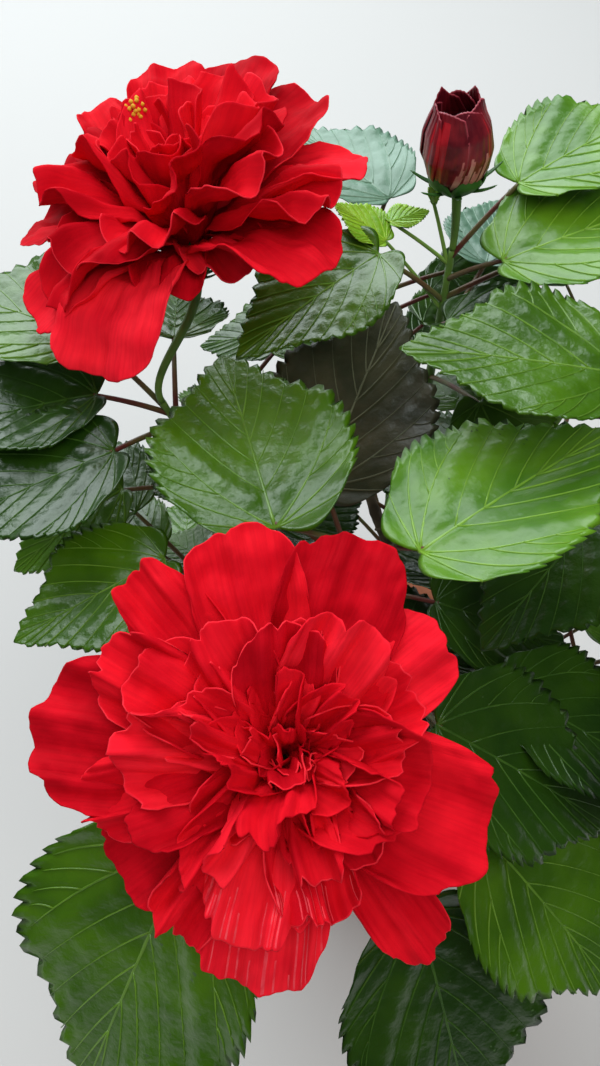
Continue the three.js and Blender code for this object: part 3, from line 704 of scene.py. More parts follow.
VEIN_SECTION = (
    (VEIN.spread, 0), (0, VEIN.proud), (-VEIN.spread, 0), (0, -VEIN.sunk),
)
PETIOLE_DRESS = Values(
    foot=1.25, tip=0.95, young=0.75, young_length=40, over=0.02, points=13, sides=8,
)
STEM_DRESS = Values(points=30, sides=12, relief=0.12, lump=6, seed=21)
MIXED = ("mixed", "deep", "rich")


def blade_point(u, v):
    x, y = blade_plane(np.asarray(u, float), np.asarray(v, float))
    return np.array([float(x), float(y)])


def main_vein(foot, tip, middle):
    """The curve of a vein that runs from the midrib to the margin."""
    ahead, across = middle
    return [foot, np.array([foot[0] + (tip[0] - foot[0]) * ahead, tip[1] * across]), tip]


def vein_paths(seed):
    """The veins of one kind of blade: (kind, points along and across)."""
    rng = np.random.default_rng(seed)
    paths = []

    def add(kind, curve):
        paths.append((kind, bezier(curve, np.linspace(0, 1, VEIN_POINTS[kind]))))

    add("midrib", [(0, 0), (0.5, 0), (MIDRIB_END, 0)])
    for side in (-1, 1):
        curves = []
        for end in BASAL.ends:
            tip = blade_point(side * BASAL.reach, end * rng.uniform(*BASAL.vary))
            curves.append(main_vein((0, 0), tip, BASAL.middle))
            add("basal", curves[-1])
        for start, end in SIDE.spans:
            foot = np.array([start + rng.uniform(*SIDE.foot), 0])
            end = min(SIDE.most, end * rng.uniform(*SIDE.vary))
            tip = blade_point(side * SIDE.reach, end)
            curves.append(main_vein(foot, tip, SIDE.middle))
            add("side", curves[-1])
        for start, end in BRANCH.spans:
            foot = bezier(curves[0], start)[0]
            tip = blade_point(side * BRANCH.reach, end * rng.uniform(*BRANCH.vary))
            bow = np.array([-BRANCH.bow, side * BRANCH.bow])
            add("branch", [foot, foot + (tip - foot) * 0.5 + bow, tip])
        order = sorted(curves, key=lambda curve: -curve[-1][0])
        for upper, lower in zip(order, order[1:]):
            for share in CROSS.shares:
                above = bezier(upper, share * rng.uniform(*CROSS.vary))[0]
                below = bezier(lower, share)[0]
                middle = (above + below) / 2 + rng.uniform(*CROSS.bow, 2)
                add("cross", [above, middle, below])
    return paths


def closer(path, parts=4):
    """A path with points between its own."""
    at = np.linspace(0, len(path) - 1, (len(path) - 1) * parts + 1)
    own = np.arange(len(path))
    return np.stack([np.interp(at, own, path[:, i]) for i in range(path.shape[1])], -1)


def leaf_kind(seed):
    """A blade's grid in shares of its length, with how far each point stands above the veins."""
    v, u = np.meshgrid(
        np.linspace(0, BLADE.tip, LEAF_ROWS + 1), np.linspace(-1, 1, LEAF_COLUMNS + 1),
        indexing="ij",
    )
    x, y = blade_plane(u, v)
    pinch = np.clip((v - PINCH.first) / (1 - PINCH.first), 0, 1)
    y = y * (1 - PINCH.depth * np.sin(math.pi * pinch))
    tooth = TOOTH_PROFILE[np.arange(LEAF_ROWS + 1) % len(TOOTH_PROFILE)]
    begun = ease(v[:, 0], TOOTH.first, TOOTH.first + TOOTH.rise)
    fade = begun * (1 - ease(v[:, 0], TOOTH.fade, TOOTH.last))
    out = (tooth * fade * TOOTH.depth)[:, None] * np.abs(u) ** TOOTH.power
    y = y + np.sign(u) * out
    x = x + TOOTH.forward * out
    veins = vein_paths(seed)
    spots = np.stack([x, y], -1)[..., None, :]

    def distance(crossing):
        paths = [closer(path) for name, path in veins if (name == "cross") == crossing]
        return np.linalg.norm(spots - np.concatenate(paths), axis=-1).min(-1)

    crossed = PILLOW.fine_depth * np.exp(-((distance(True) / PILLOW.fine) ** 2))
    pillow = (1 - np.exp(-((distance(False) / PILLOW.width) ** 2))) * (1 - crossed)
    return Values(x=x, y=y, veins=[vein for vein in veins if vein[0] != "cross"], pillow=pillow)


def leaf_height(leaf, x, y, phase, pillow=0.0):
    """A dressed blade's height at a point: the source's, rounded at the midrib and wavy."""
    length = leaf.length
    along = np.clip(x / length, 0, 1)
    soft = np.sqrt(y * y + MIDRIB_ROUND) - math.sqrt(MIDRIB_ROUND)
    edge = (np.abs(y) / (WAVE.reach * length)) ** 2
    turn = 2 * math.pi * (WAVE.pitch * along + phase) + np.sign(y) * WAVE.side
    height = BLADE.fold * soft - length * BLADE.sag * along * along
    return height + length * (WAVE.height * (np.sin(turn) * edge) + PILLOW.rise * pillow)


def add_blade(mesh, leaf, kind, phase, look):
    x, y = kind.x * leaf.length, kind.y * leaf.length
    grid = leaf.place(x, y, leaf_height(leaf, x, y, phase, kind.pillow))
    add_sheet(mesh, grid[:, ::-1], BLADE_THICK, look, np.stack([y, x], -1), under="under")


def add_veins(mesh, leaf, kind, phase, look):
    """Ridges that stand proud of the blade along its veins, above and below."""
    for name, path in kind.veins:
        taper = np.linspace(1, VEIN.tip, len(path))
        width = VEIN_WIDTHS[name] * leaf.length / VEIN.length * taper
        x, y = path[:, 0] * leaf.length, path[:, 1] * leaf.length
        way = np.gradient(np.stack([x, y], -1), axis=0)
        aside = unit(np.stack([-way[:, 1], way[:, 0]], -1)) * width[:, None]
        ridge = []
        for shift, rise in VEIN_SECTION:
            px, py = x + aside[:, 0] * shift, y + aside[:, 1] * shift
            ridge.append(leaf.place(px, py, leaf_height(leaf, px, py, phase) + rise))
        corners = np.arange(len(VEIN_SECTION))
        faces = grid_faces(len(path), len(corners), wrap=True)[:, ::-1]
        ends = np.array([corners, corners[::-1] + (len(path) - 1) * len(corners)])
        mesh.add(np.stack(ridge, axis=1), [faces, ends], look)


def add_petiole(mesh, leaf, look):
    dress = PETIOLE_DRESS
    controls = leaf.petiole_controls()
    controls[2] = controls[2] + leaf.ahead * dress.over * leaf.length
    thick = PETIOLE.radius * (dress.young if leaf.length < dress.young_length else 1)
    radii = np.linspace(dress.foot, dress.tip, dress.points) * thick
    path = bezier(controls, np.linspace(0, 1, dress.points))
    add_tube(mesh, path, radii, dress.sides, look)


def shared_out(groups, count=3):
    """The groups' names in a few lists with about as many leaves in each."""
    shares, sizes = [[] for _ in range(count)], [0] * count
    for name, members in sorted(groups.items(), key=lambda item: -len(item[1])):
        least = sizes.index(min(sizes))
        shares[least].append(name)
        sizes[least] += len(members)
    return shares


def dress_leaves(leaves):
    kinds = [leaf_kind(seed) for seed in KIND_SEEDS]
    rng = np.random.default_rng(LEAF_SEED)
    groups = {}
    for leaf in leaves:
        groups.setdefault(leaf.shoot, []).append(leaf)
    veins, stalks = Mesh(), Mesh()
    for number, names in enumerate(shared_out(groups), 1):
        blades = Mesh()
        for leaf in [leaf for name in names for leaf in groups[name]]:
            kind = kinds[rng.integers(len(kinds))]
            phase = rng.uniform()
            look = leaf.look
            if look == "mixed":
                look = MIXED[rng.integers(len(MIXED))]
            add_blade(blades, leaf, kind, phase, "leaf_" + look)
            add_veins(veins, leaf, kind, phase, "vein_" + look)
            add_petiole(stalks, leaf, "young_stalk" if look == "young" else "petiole")
        blades.build(f"leaf_blades_{number}", "leaf", ["leaves_" + name for name in names])
    veins.build("leaf_veins", "leaf")
    dress = STEM_DRESS
    for shoot in SHOOT.values():
        path = bezier(stem_controls(shoot), np.linspace(0, 1, dress.points))
        radii = np.linspace(STEM.foot_radius, STEM.tip_radius, dress.points)
        add_tube(stalks, path, radii, dress.sides, "stem",
                 lambda points: dress.relief * lumps(points, dress.lump, dress.seed))
    stalks.build("leaf_stalks", "leaf")


# Blooms and the bud

# The inner petals that show most, for each bloom: bearing, length, width, the angles from the
# axis at which a petal sets out and ends, its twist, and how far its sides fold up
OPEN_INNER = [
    (90, 52, 40, 16, 68, 12, 0.3), (120, 54, 38, 20, 76, -18, 0.2), (58, 56, 46, 20, 74, 10, 0.2),
    (25, 52, 42, 24, 76, -14, 0.3), (148, 57, 42, 28, 88, 16, 0.2), (176, 56, 40, 26, 84, -22, 0.3),
    (203, 53, 34, 26, 88, 25, 0.3), (232, 49, 30, 26, 90, -30, 0.4), (258, 56, 44, 30, 90, 8, 0.2),
    (286, 52, 36, 26, 84, -18, 0.2), (318, 46, 30, 20, 74, 30, 0.4), (350, 51, 52, 20, 80, 6, 0.9),
    (151, 65, 38, 38, 98, -10, 0.2), (192, 62, 34, 40, 100, 14, 0.3),
    (236, 60, 30, 40, 104, -12, 0.4),
]
UPRIGHT_INNER = [
    (140, 52, 42, 24, 66, 6, 0.2), (112, 54, 40, 20, 54, -8, 0.25), (84, 56, 42, 18, 50, 10, 0.3),
    (58, 59, 46, 20, 52, -6, 0.2), (36, 58, 44, 22, 60, 8, 0.25), (100, 50, 46, 8, 42, 20, 0.8),
    (76, 51, 44, 6, 38, -15, 0.9), (128, 47, 42, 10, 46, -20, 0.7), (165, 48, 44, 16, 64, 15, 0.5),
    (16, 52, 42, 14, 56, -12, 0.6), (262, 46, 42, 30, 96, 8, 0.2), (232, 54, 44, 34, 104, -15, 0.2),
    (292, 48, 38, 12, 56, 50, 0.4), (320, 57, 46, 24, 84, 20, 0.25),
    (348, 58, 46, 18, 68, -18, 0.3), (195, 54, 44, 24, 82, -18, 0.3),
    (336, 62, 46, 38, 106, 8, 0.2), (222, 58, 36, 44, 132, 10, 0.4), (304, 42, 38, 54, 112, 0, 0.3),
    (344, 46, 40, 52, 108, 0, 0.3), (268, 40, 36, 54, 116, 0, 0.3),
]
INNER = {"open": OPEN_INNER, "upright": UPRIGHT_INNER}
PETAL_SHAPE = ("bearing", "length", "width", "out", "end", "twist", "cup")

# Each kind of petal: how far out and up it starts, the limits of its ruffles and of how many it
# has, how jagged its margin is, and its grid
KIND_VALUES = ("foot", "seat", "ruffle", "waves", "jag", "rows", "columns")
KINDS = {
    "outer": (3, 5, (1.3, 1.9), (2.0, 3.4), 0.45, 27, 48),
    "inner": (2, 8, (2.4, 3.8), (2.2, 3.4), 0.7, 20, 42),
    "frill": (1.5, 10, (2.6, 4.2), (1.8, 3.0), 0.9, 16, 32),
    "heart": (1, 12, (1.6, 2.8), (1.2, 2.2), 1.0, 14, 22),
}
OUTER_WIDER = 1.06
OUTER_TWIST = (-8, 8)

# The crowded petals that a rule deals out round the middle: kind, count, greatest twist, and the
# limits of length, width, the angles at which a petal sets out and ends, and its sides' fold
CROWDS = {
    "open": [
        ("frill", 19, 40, (35, 51), (20, 32), (6, 28), (40, 82), (0.2, 0.7)),
        ("heart", 14, 55, (18, 32), (12, 20), (0, 14), (20, 62), (0.2, 0.8)),
    ],
    "upright": [
        ("frill", 5, 45, (38, 46), (24, 34), (0, 12), (24, 52), (0.4, 0.9)),
        ("heart", 6, 60, (30, 38), (16, 24), (0, 8), (14, 36), (0.3, 0.9)),
    ],
}
CROWD_SWAY = (-15, 15)
# lit and shaded: brighter looks for the outer petals on one side of a bloom, painted light, and
# darker looks on the other side, painted shade
PETAL_LOOKS = {
    "lit": ("petal_bright", "petal_bright", "petal"),
    "shaded": ("petal", "petal_deep"),
    "inner": ("petal", "petal_deep", "petal_bright", "petal"),
    "frill": ("petal", "petal", "petal_bright"),
    "heart": ("petal", "petal_deep"),
}
PETAL_THICK = 0.5
# RIMMED: the share of petals whose margins take petal_rim, a painted highlight
RIMMED = 0.4

# Pale streaks on the open bloom's lowest large petals
STREAKS = Values(heart="open", low=240, high=290, kinds=("outer", "inner"), columns=118)
STREAK_MARKS = dict(share=0.2, first=0.55, last=-2, look="petal_streak")
STREAK_VARIES = 0.25

# A petal's fan, its lip, its ruffles and its folds
RIM = 0.35
ROWS_CROWD = 1.4
NEAR_MARGIN = 0.98
FAN = Values(
    rounding=0.42, power=3.0, full=0.76, most=0.94, claw=0.5, opened=0.62, tuck=0.2, tucked=0.68,
)
LIP = Values(
    scallops=((8, 0.024), (17, 0.014), (35, 0.008)),
    notches=2, notch=0.08, notch_width=0.05, notch_first=0.55, notch_reach=0.85,
)
RUFFLE = Values(
    drift=0.12, drift_pitch=2.3, slant=0.8, first=0.2, full=1.05, power=1.2,
    second=0.4, second_pitch=2.4, fine=0.2, fine_pitch=5.3, fine_first=0.62,
    side=0.45, side_pitch=7, side_first=0.15, side_full=0.6, sway=0.45, sway_pitch=5.5, shift=0.3,
)
FOLD = Values(depth=0.26, count=11, first=0.1, full=0.5, fade=0.5)
CRUMPLE = Values(large=0.8, wide=20, small=0.28, fine=7, first=0.05, full=0.5)

SEPAL = Values(
    count=5, rows=12, columns=9, thick=0.8, foot=0.35, belly=0.75, quick=1.6, width=0.66,
    narrow=0.18, taper=0.80, hollow=0.25, low=-3, over=5,
)
BRACT = Values(
    count=7, first=10, thick=0.5, slope=12, rise=26, out=2, low=-2, width=1.2,
    narrow=0.2, taper=0.76,
)
BLOOM_CALYX = dict(radius=7, height=12, bract=15)
BUD_CALYX = dict(radius=9, height=7, bract=16)
STALK_POINTS = 24
STALK_SIDES = 12

STAMEN_COLUMN = [(0, 0, 8), (-4, 6, 34), (-10, 14, 53)]
STAMEN = Values(points=20, foot=1.6, tip=0.7, sides=8)
ANTHER = Values(
    count=22, share=(0.9, 1.0), upward=0.5, reach=(1.5, 3.2), radius=0.8, edge=0.15,
    points=7, sides=8, thread_radius=0.22, thread_points=4, thread_sides=5,
)


def flower_turn(flower):
    """The turn that carries the vertical to the flower's axis the shortest way."""
    axis = flower_axis(flower)
    v = np.cross(UP, axis)
    k = np.array([[0, -v[2], v[1]], [v[2], 0, -v[0]], [-v[1], v[0], 0]])
    return np.eye(3) + k + k @ k / (1 + axis[2])


def on_flower(flower, points):
    """Points in a flower's frame, carried to where the flower stands."""
    return points @ flower_turn(flower).T + np.array(flower.calyx, float)


def petal_frame(bearing, out, up, across):
    """Points at distances out from the flower's axis, up it, and across the petal's middle."""
    ways = direction(bearing, 0), UP, direction(bearing + 90, 0)
    outward, upward, aside = map(np.multiply.outer, (out, up, across), ways)
    return outward + upward + aside


def rounded_ends(points, edge=0.0):
    """The share of a radius at points along a body that is round at both ends."""
    return np.sin(np.linspace(edge, math.pi - edge, points))


def petal_grid(petal, rng):
    """A ruffled fan-shaped petal in its flower's frame, with its grain's place in millimetres."""
    length, width, ruffle, crisp = [petal[key] for key in ("length", "width", "ruffle", "crisp")]
    v = np.append(1 - (1 - np.linspace(0, 1, petal["rows"])) ** ROWS_CROWD, 1)
    v[-2] = 1 - RIM / length
    u = np.concatenate([[-1], np.linspace(-NEAR_MARGIN, NEAR_MARGIN, petal["columns"]), [1]])
    v, u = np.meshgrid(v, u, indexing="ij")
    phases = rng.uniform(0, 2 * math.pi, 8)

    lip = 1 - FAN.rounding * np.abs(u) ** FAN.power
    for (pitch, depth), phase in zip(LIP.scallops, phases):
        lip = lip + petal["jag"] * depth * np.sin(pitch * u + phase)
    for at in rng.uniform(-LIP.notch_reach, LIP.notch_reach, LIP.notches):
        notch = np.exp(-(((u - at) / LIP.notch_width) ** 2)) * ease(v, LIP.notch_first, 1)
        lip = lip - petal["jag"] * LIP.notch * notch
    spread = math.asin(min(FAN.most, 0.5 * width / (FAN.full * length)))
    opening = FAN.claw + (1 - FAN.claw) * ease(v, 0, FAN.opened)
    fan = u * spread * (opening * (1 - FAN.tuck * ease(v, FAN.tucked, 1)))
    along = v * lip * np.cos(fan)
    across = v * lip * np.sin(fan) * length

    turns = u + RUFFLE.drift * np.sin(RUFFLE.drift_pitch * u + phases[2])
    turns = petal["waves"] * math.pi * turns + RUFFLE.slant * v + phases[3]
    grow = ease(v, RUFFLE.first, RUFFLE.full) ** RUFFLE.power
    second = RUFFLE.second * crisp * np.sin(RUFFLE.second_pitch * turns + phases[4])
    fine = RUFFLE.fine * crisp * np.sin(RUFFLE.fine_pitch * turns + phases[5])
    sides = RUFFLE.side * np.sin(RUFFLE.side_pitch * v + phases[6]) * u ** 3
    sides = sides * ease(v, RUFFLE.side_first, RUFFLE.side_full)
    sway = RUFFLE.sway * np.sin(RUFFLE.sway_pitch * v + phases[7]) * v
    wave = grow * (np.sin(turns) + second + fine * ease(v, RUFFLE.fine_first, 1)) + sides + sway

    folds = FOLD.depth * np.sin(u * FOLD.count * math.pi + phases[5])
    folds = folds * ease(v, FOLD.first, FOLD.full) * (1 - FOLD.fade * v)
    spot = np.stack([across, along * length], -1)
    crumple = CRUMPLE.large * lumps(spot, CRUMPLE.wide, petal["seed"])
    crumple = crumple + CRUMPLE.small * lumps(spot, CRUMPLE.fine, petal["seed"] + 1)
    folds = folds + crumple * ease(v, CRUMPLE.first, CRUMPLE.full)

    inward = petal["cup"] * 2 * across ** 2 / width + ruffle * wave + folds
    across = across + RUFFLE.shift * ruffle * grow * np.cos(turns)
    turn = math.radians(petal["twist"]) * along
    cos, sin = np.cos(turn), np.sin(turn)
    across, inward = across * cos - inward * sin, across * sin + inward * cos
    start, bend = math.radians(petal["out"]), math.radians(petal["end"] - petal["out"])
    angle = start + bend * along
    out = petal["foot"] + length / bend * (math.cos(start) - np.cos(angle))
    up = petal["seat"] + length / bend * (np.sin(angle) - math.sin(start))
    out, up = out - inward * np.cos(angle), up + inward * np.sin(angle)
    grid = petal_frame(petal["bearing"], out, up, across)
    return grid, np.stack([u * width / 2, v * length], -1)


def streaks(rows, columns, rng, share, first, look, last=None, within=(0, 1)):
    """Marks on that share of a sheet's columns, each from about the first row on."""
    picked = np.flatnonzero(rng.uniform(size=columns - 1) < share)
    marks = []
    for column in picked:
        if within[0] <= column / columns <= within[1]:
            start = int(rows * (first + STREAK_VARIES * rng.uniform()))
            marks.append((start, last or rows, int(column), look))
    return marks


def bloom_petals(bloom, rng):
    """The outer petals, the inner ones that are placed, and the crowded ones round the middle."""
    petals = []

    def add(kind, shape, looks):
        petal = dict(zip(KIND_VALUES, KINDS[kind]), kind=kind, crisp=bloom.crisp)
        petal.update(zip(PETAL_SHAPE, shape), seed=100 * bloom.seed + 2 * len(petals))
        petal["jag"] *= bloom.jagged
        for key in ("ruffle", "waves"):
            petal[key] = rng.uniform(*petal[key])
        petal["look"] = PETAL_LOOKS[looks][rng.integers(len(PETAL_LOOKS[looks]))]
        petals.append(petal)

    # Outer petals between the shaded bearings get painted shade, the others painted light
    first, last = bloom.shaded
    for bearing, length, width, out, end in bloom.outer:
        twist = rng.uniform(*OUTER_TWIST)
        shape = (bearing, length, width * OUTER_WIDER, out, end, twist, bloom.cup)
        add("outer", shape, "shaded" if first < bearing < last else "lit")
    for shape in INNER[bloom.heart]:
        add("inner", shape, "inner")
    for kind, count, twist, *limits in CROWDS[bloom.heart]:
        for i in range(count):
            *size, cup = [rng.uniform(*limit) for limit in limits]
            bearing = RULE.turn * i + rng.uniform(*CROWD_SWAY)
            add(kind, (bearing, *size, rng.uniform(-1, 1) * twist, cup), kind)
    return petals


def add_calyx(mesh, flower, radius, height, bract):
    """The lobed cup under a flower, the thin bracts that spread below it, and the stalk."""
    v, u = np.meshgrid(
        np.linspace(0, 1, SEPAL.rows), np.linspace(-1, 1, SEPAL.columns), indexing="ij"
    )
    belly = SEPAL.belly * np.sin(math.pi * 0.5 * np.minimum(1, v * SEPAL.quick))
    across = radius * SEPAL.width * u * np.sin(math.pi * (SEPAL.narrow + SEPAL.taper * v))
    out = radius * (SEPAL.foot + belly) - SEPAL.hollow * across * u
    up = SEPAL.low + (height + SEPAL.over) * v
    for i in range(SEPAL.count):
        lobe = petal_frame(360 / SEPAL.count * i, out, up, across)
        add_sheet(mesh, on_flower(flower, lobe), SEPAL.thick, "calyx")
    slope = np.radians(BRACT.slope + BRACT.rise * v)
    out = BRACT.out + np.cumsum(np.cos(slope), axis=0) * bract / SEPAL.rows
    up = BRACT.low + np.cumsum(np.sin(slope), axis=0) * bract / SEPAL.rows
    across = BRACT.width * np.sin(math.pi * (BRACT.narrow + BRACT.taper * v)) * u
    for i in range(BRACT.count):
        blade = petal_frame(360 * i / BRACT.count + BRACT.first, out, up, across)
        add_sheet(mesh, on_flower(flower, blade), BRACT.thick, "calyx")
    path = bezier(stalk_controls(flower), np.linspace(0, 1, STALK_POINTS))
    radii = np.linspace(STALK.foot_radius, STALK.tip_radius, STALK_POINTS)
    add_tube(mesh, path, radii, STALK_SIDES, "stem")


def add_stamens(mesh, flower, rng):
    """A slim column with yellow anthers that stands out of the bloom's middle."""
    column = bezier(STAMEN_COLUMN, np.linspace(0, 1, STAMEN.points))
    radii = np.linspace(STAMEN.foot, STAMEN.tip, STAMEN.points)
    add_tube(mesh, on_flower(flower, column), radii, STAMEN.sides, "petal_deep")
    half = UP * ANTHER.radius
    for _ in range(ANTHER.count):
        start = bezier(STAMEN_COLUMN, rng.uniform(*ANTHER.share))[0]
        way = unit(rng.normal(size=3) + UP * ANTHER.upward)
        tip = start + way * rng.uniform(*ANTHER.reach)
        thread = on_flower(flower, np.linspace(start, tip, ANTHER.thread_points))
        add_tube(mesh, thread, ANTHER.thread_radius, ANTHER.thread_sides, "petal_rim")
        ball = on_flower(flower, np.linspace(tip - half, tip + half, ANTHER.points))
        radii = ANTHER.radius * rounded_ends(ANTHER.points, ANTHER.edge)
        add_tube(mesh, ball, radii, ANTHER.sides, "pollen")


def dress_blooms():
    for bloom in BLOOMS:
        rng = np.random.default_rng(bloom.seed)
        petals, greens = Mesh(), Mesh()
        for petal in bloom_petals(bloom, rng):
            large = bloom.heart == STREAKS.heart and petal["kind"] in STREAKS.kinds
            streaked = large and STREAKS.low < petal["bearing"] < STREAKS.high
            if streaked:
                petal["columns"] = STREAKS.columns
            grid, where = petal_grid(petal, rng)
            marks = streaks(*grid.shape[:2], rng, **STREAK_MARKS) if streaked else ()
            # A painted highlight along the margins of some petals
            rim = "petal_rim" if rng.uniform() < RIMMED else None
            grid = on_flower(bloom, grid)
            add_sheet(petals, grid, PETAL_THICK, petal["look"], where, rim=rim, marks=marks)
        if bloom.stamens:
            add_stamens(petals, bloom, rng)
        petals.build(bloom.node + "_petals", "petal", [bloom.node])
        add_calyx(greens, bloom, **BLOOM_CALYX)
        greens.build(bloom.node + "_calyx", "petal")


# How the bud's petals wrap round it, in shares of its height and in millimetres
WRAP = Values(
    rows=30, last_row=0.985, columns=34, near_margin=0.95, thick=0.5, droop=0.05,
    point=1.5, point_at=0.2, spread=62, narrow=0.16, taper=0.62, power=0.6, spiral=26,
    lap=0.9, sunk=0.6, rib=0.16, ribs=9, rib_first=0.05, rib_full=0.3,
    flare=(-1.0, 0.8), flare_wave=0.7, flare_pitch=4, flare_first=0.8,
    wave=0.4, wave_pitch=(5, 3), grain=(12, 30),
)
BUD_STREAKS = dict(first=0.05, look="bud_red", last=27)
BUD_SHARES = Values(all=0.05, red=0.85, pale=0.75)
BUD_PALE_ENDS = (9, 17)
BUD_CORE = Values(foot=1, top=0.7, points=14, width=0.86, end=2, sides=24)
BUD_SEED = 31


def bud_petal(i, top, point, rng):
    """A petal wrapped round the bud, with its grain's place."""
    w = WRAP
    v = np.concatenate([np.linspace(0, w.last_row, w.rows), [1.0]])
    u = np.linspace(-w.near_margin, w.near_margin, w.columns)
    v, u = np.meshgrid(v, np.concatenate([[-1], u, [1]]), indexing="ij")
    tip = point * np.maximum(0, 1 - w.point * np.abs(u - w.point_at)) * v ** 3
    height = v * (top - w.droop * u * u + tip)
    spread = w.spread * np.sin(math.pi * (w.narrow + w.taper * v)) ** w.power
    bearing = 360 / len(BUD_LIPS) * i + u * spread + w.spiral * v
    radius = BUD.radius * np.interp(height, *np.array(BUD_PROFILE).T) + w.lap * u - w.sunk
    ribs = w.rib * np.sin(u * w.ribs * math.pi + i) * ease(v, w.rib_first, w.rib_full)
    flare = rng.uniform(*w.flare) + w.flare_wave * np.sin(w.flare_pitch * u + i)
    flare = ease(v, w.flare_first, 1.0) * flare
    (aside, upward), (wide, high) = w.wave_pitch, w.grain
    radius = radius + w.wave * np.sin(aside * u + upward * v + i) * v + ribs + flare
    grid = around_axis(radius, BUD.height * height, np.radians(bearing))
    return grid, np.stack([u * wide, v * high], -1)


def dress_bud():
    """Petals wrapped round one another into a barrel, with loose tips at the mouth."""
    petals, greens = Mesh(), Mesh()
    rng = np.random.default_rng(BUD_SEED)
    for i, (top, point) in enumerate(BUD_LIPS):
        grid, where = bud_petal(i, top, point, rng)
        size = grid.shape[:2]
        marks = streaks(*size, rng, BUD_SHARES.all, **BUD_STREAKS)
        if i in BUD_RED:
            marks += streaks(*size, rng, BUD_SHARES.red, **BUD_STREAKS, within=BUD_RED[i])
        if i in BUD_PALE:
            pale = streaks(*size, rng, BUD_SHARES.pale, 0, "bud_pale", within=BUD_PALE[i])
            for _, _, column, look in pale:
                marks.append((1, int(rng.integers(*BUD_PALE_ENDS)), column, look))
        grid = on_flower(BUD, grid)
        add_sheet(petals, grid, WRAP.thick, "bud", where, rim="bud_rim", marks=marks)
    core = BUD_CORE
    path = np.linspace((0, 0, core.foot), (0, 0, BUD.height * core.top), core.points)
    shares = np.interp(np.linspace(0, core.top, core.points), *np.array(BUD_PROFILE).T)
    radii = BUD.radius * core.width * shares
    radii[-1] = core.end
    add_tube(petals, on_flower(BUD, path), radii, core.sides, "bud")
    petals.build("bud_petals", "bud", ["bud"])
    add_calyx(greens, BUD, **BUD_CALYX)
    greens.build("bud_calyx", "bud")


# Trunk, boughs, pot and soil

BARK = Values(
    stretch=np.array([1, 1, 0.35]), lump=0.5, lump_size=14, lump_seed=40,
    crack=0.45, crack_size=5, crack_seed=41, sunk=0.3, bough_share=0.45,
)
TRUNK_DRESS = Values(points=90, sides=48, sunk=0.3)
BOUGH_DRESS = Values(points=60, sides=20, sunk=0.1)
KNOT = Values(at=(0.3, 0.55, 0.8), half=0.012, points=7, sides=16, swell=0.2, sunk=0.05)
POT_DRESS = Values(
    step=2.5, sides=120, ring=0.18, ring_pitch=1.1, ring_from=5, lump=0.3, lump_size=70, seed=52,
)
ROUNDED_MOST = 0.45
HOLE_SIDES = 32
SOIL_DRESS = Values(
    gap=1, shoulder=4, rim=8, step=2.0, sides=150, loose=6,
    lump=1.0, lump_size=9, lump_seed=61, crumb=0.6, crumb_size=4, crumb_seed=62,
)
CLOD = Values(
    count=420, seed=63, margin=6, inner=0.03, up=(-0.6, 0.8), size=(0.8, 2.3), width=(0.6, 1.0),
    points=5, sides=6, edge=0.35, grit=0.18,
)


def bark_relief(points):
    cracks = np.abs(lumps(points * BARK.stretch, BARK.crack_size, BARK.crack_seed))
    swells = BARK.lump * lumps(points, BARK.lump_size, BARK.lump_seed)
    return swells + BARK.crack * cracks - BARK.sunk


def trunk_radii(shares):
    height = shares * (TRUNK.top - SOIL_TOP)
    flare = TRUNK.flare * np.maximum(0, 1 - height / TRUNK.flare_height) ** 2
    return TRUNK.foot_radius + (TRUNK.top_radius - TRUNK.foot_radius) * shares + flare


def add_knots(mesh, controls, foot):
    for at in KNOT.at:
        ring = bezier(controls, np.linspace(at - KNOT.half, at + KNOT.half, KNOT.points))
        thick = foot + (BOUGH.tip_radius - foot) * at
        thick = thick * (1 + KNOT.swell * rounded_ends(KNOT.points)) - KNOT.sunk
        add_tube(mesh, ring, thick, KNOT.sides, "bark")


def dress_limbs():
    wood = Mesh()
    shares = np.linspace(0, 1, TRUNK_DRESS.points)
    path = bezier(trunk_controls(), shares)
    path[0, 2] -= GAP
    radii = trunk_radii(shares) - TRUNK_DRESS.sunk
    add_tube(wood, path, radii, TRUNK_DRESS.sides, "bark", bark_relief)
    for bough in BOUGHS:
        for i, controls in enumerate(bough_controls(bough)):
            foot = BOUGH.foot_radius if i == 0 else BOUGH.side_radius
            path = bezier(controls, np.linspace(0, 1, BOUGH_DRESS.points))
            radii = np.linspace(foot, BOUGH.tip_radius, BOUGH_DRESS.points)
            add_tube(wood, path, radii - BOUGH_DRESS.sunk, BOUGH_DRESS.sides, "bark",
                     lambda points: BARK.bough_share * bark_relief(points))
            add_knots(wood, controls, foot)
    wood.build("wood", "bark", ["trunk"] + ["bough_" + bough[0] for bough in BOUGHS])


def rounded(corners, radius, steps=5):
    """A profile whose corners are rounded by that radius."""
    corners = [np.array(c, float) for c in corners]
    points = [corners[0]]
    for before, corner, after in zip(corners, corners[1:], corners[2:]):
        edges = [np.linalg.norm(other - corner) for other in (before, after)]
        cut = min(radius, *(ROUNDED_MOST * edge for edge in edges))
        ends = [corner + unit(other - corner) * cut for other in (before, after)]
        points += list(bezier([ends[0], corner, ends[1]], np.linspace(0, 1, steps)))
    return points + [corners[-1]]


def filled(profile, step):
    """A profile with points no further apart than a step."""
    points = [profile[0]]
    for a, b in zip(profile, profile[1:]):
        count = max(1, math.ceil(np.linalg.norm(np.array(b) - a) / step))
        points += [np.array(a) + (np.array(b) - a) * k / count for k in range(1, count + 1)]
    return points


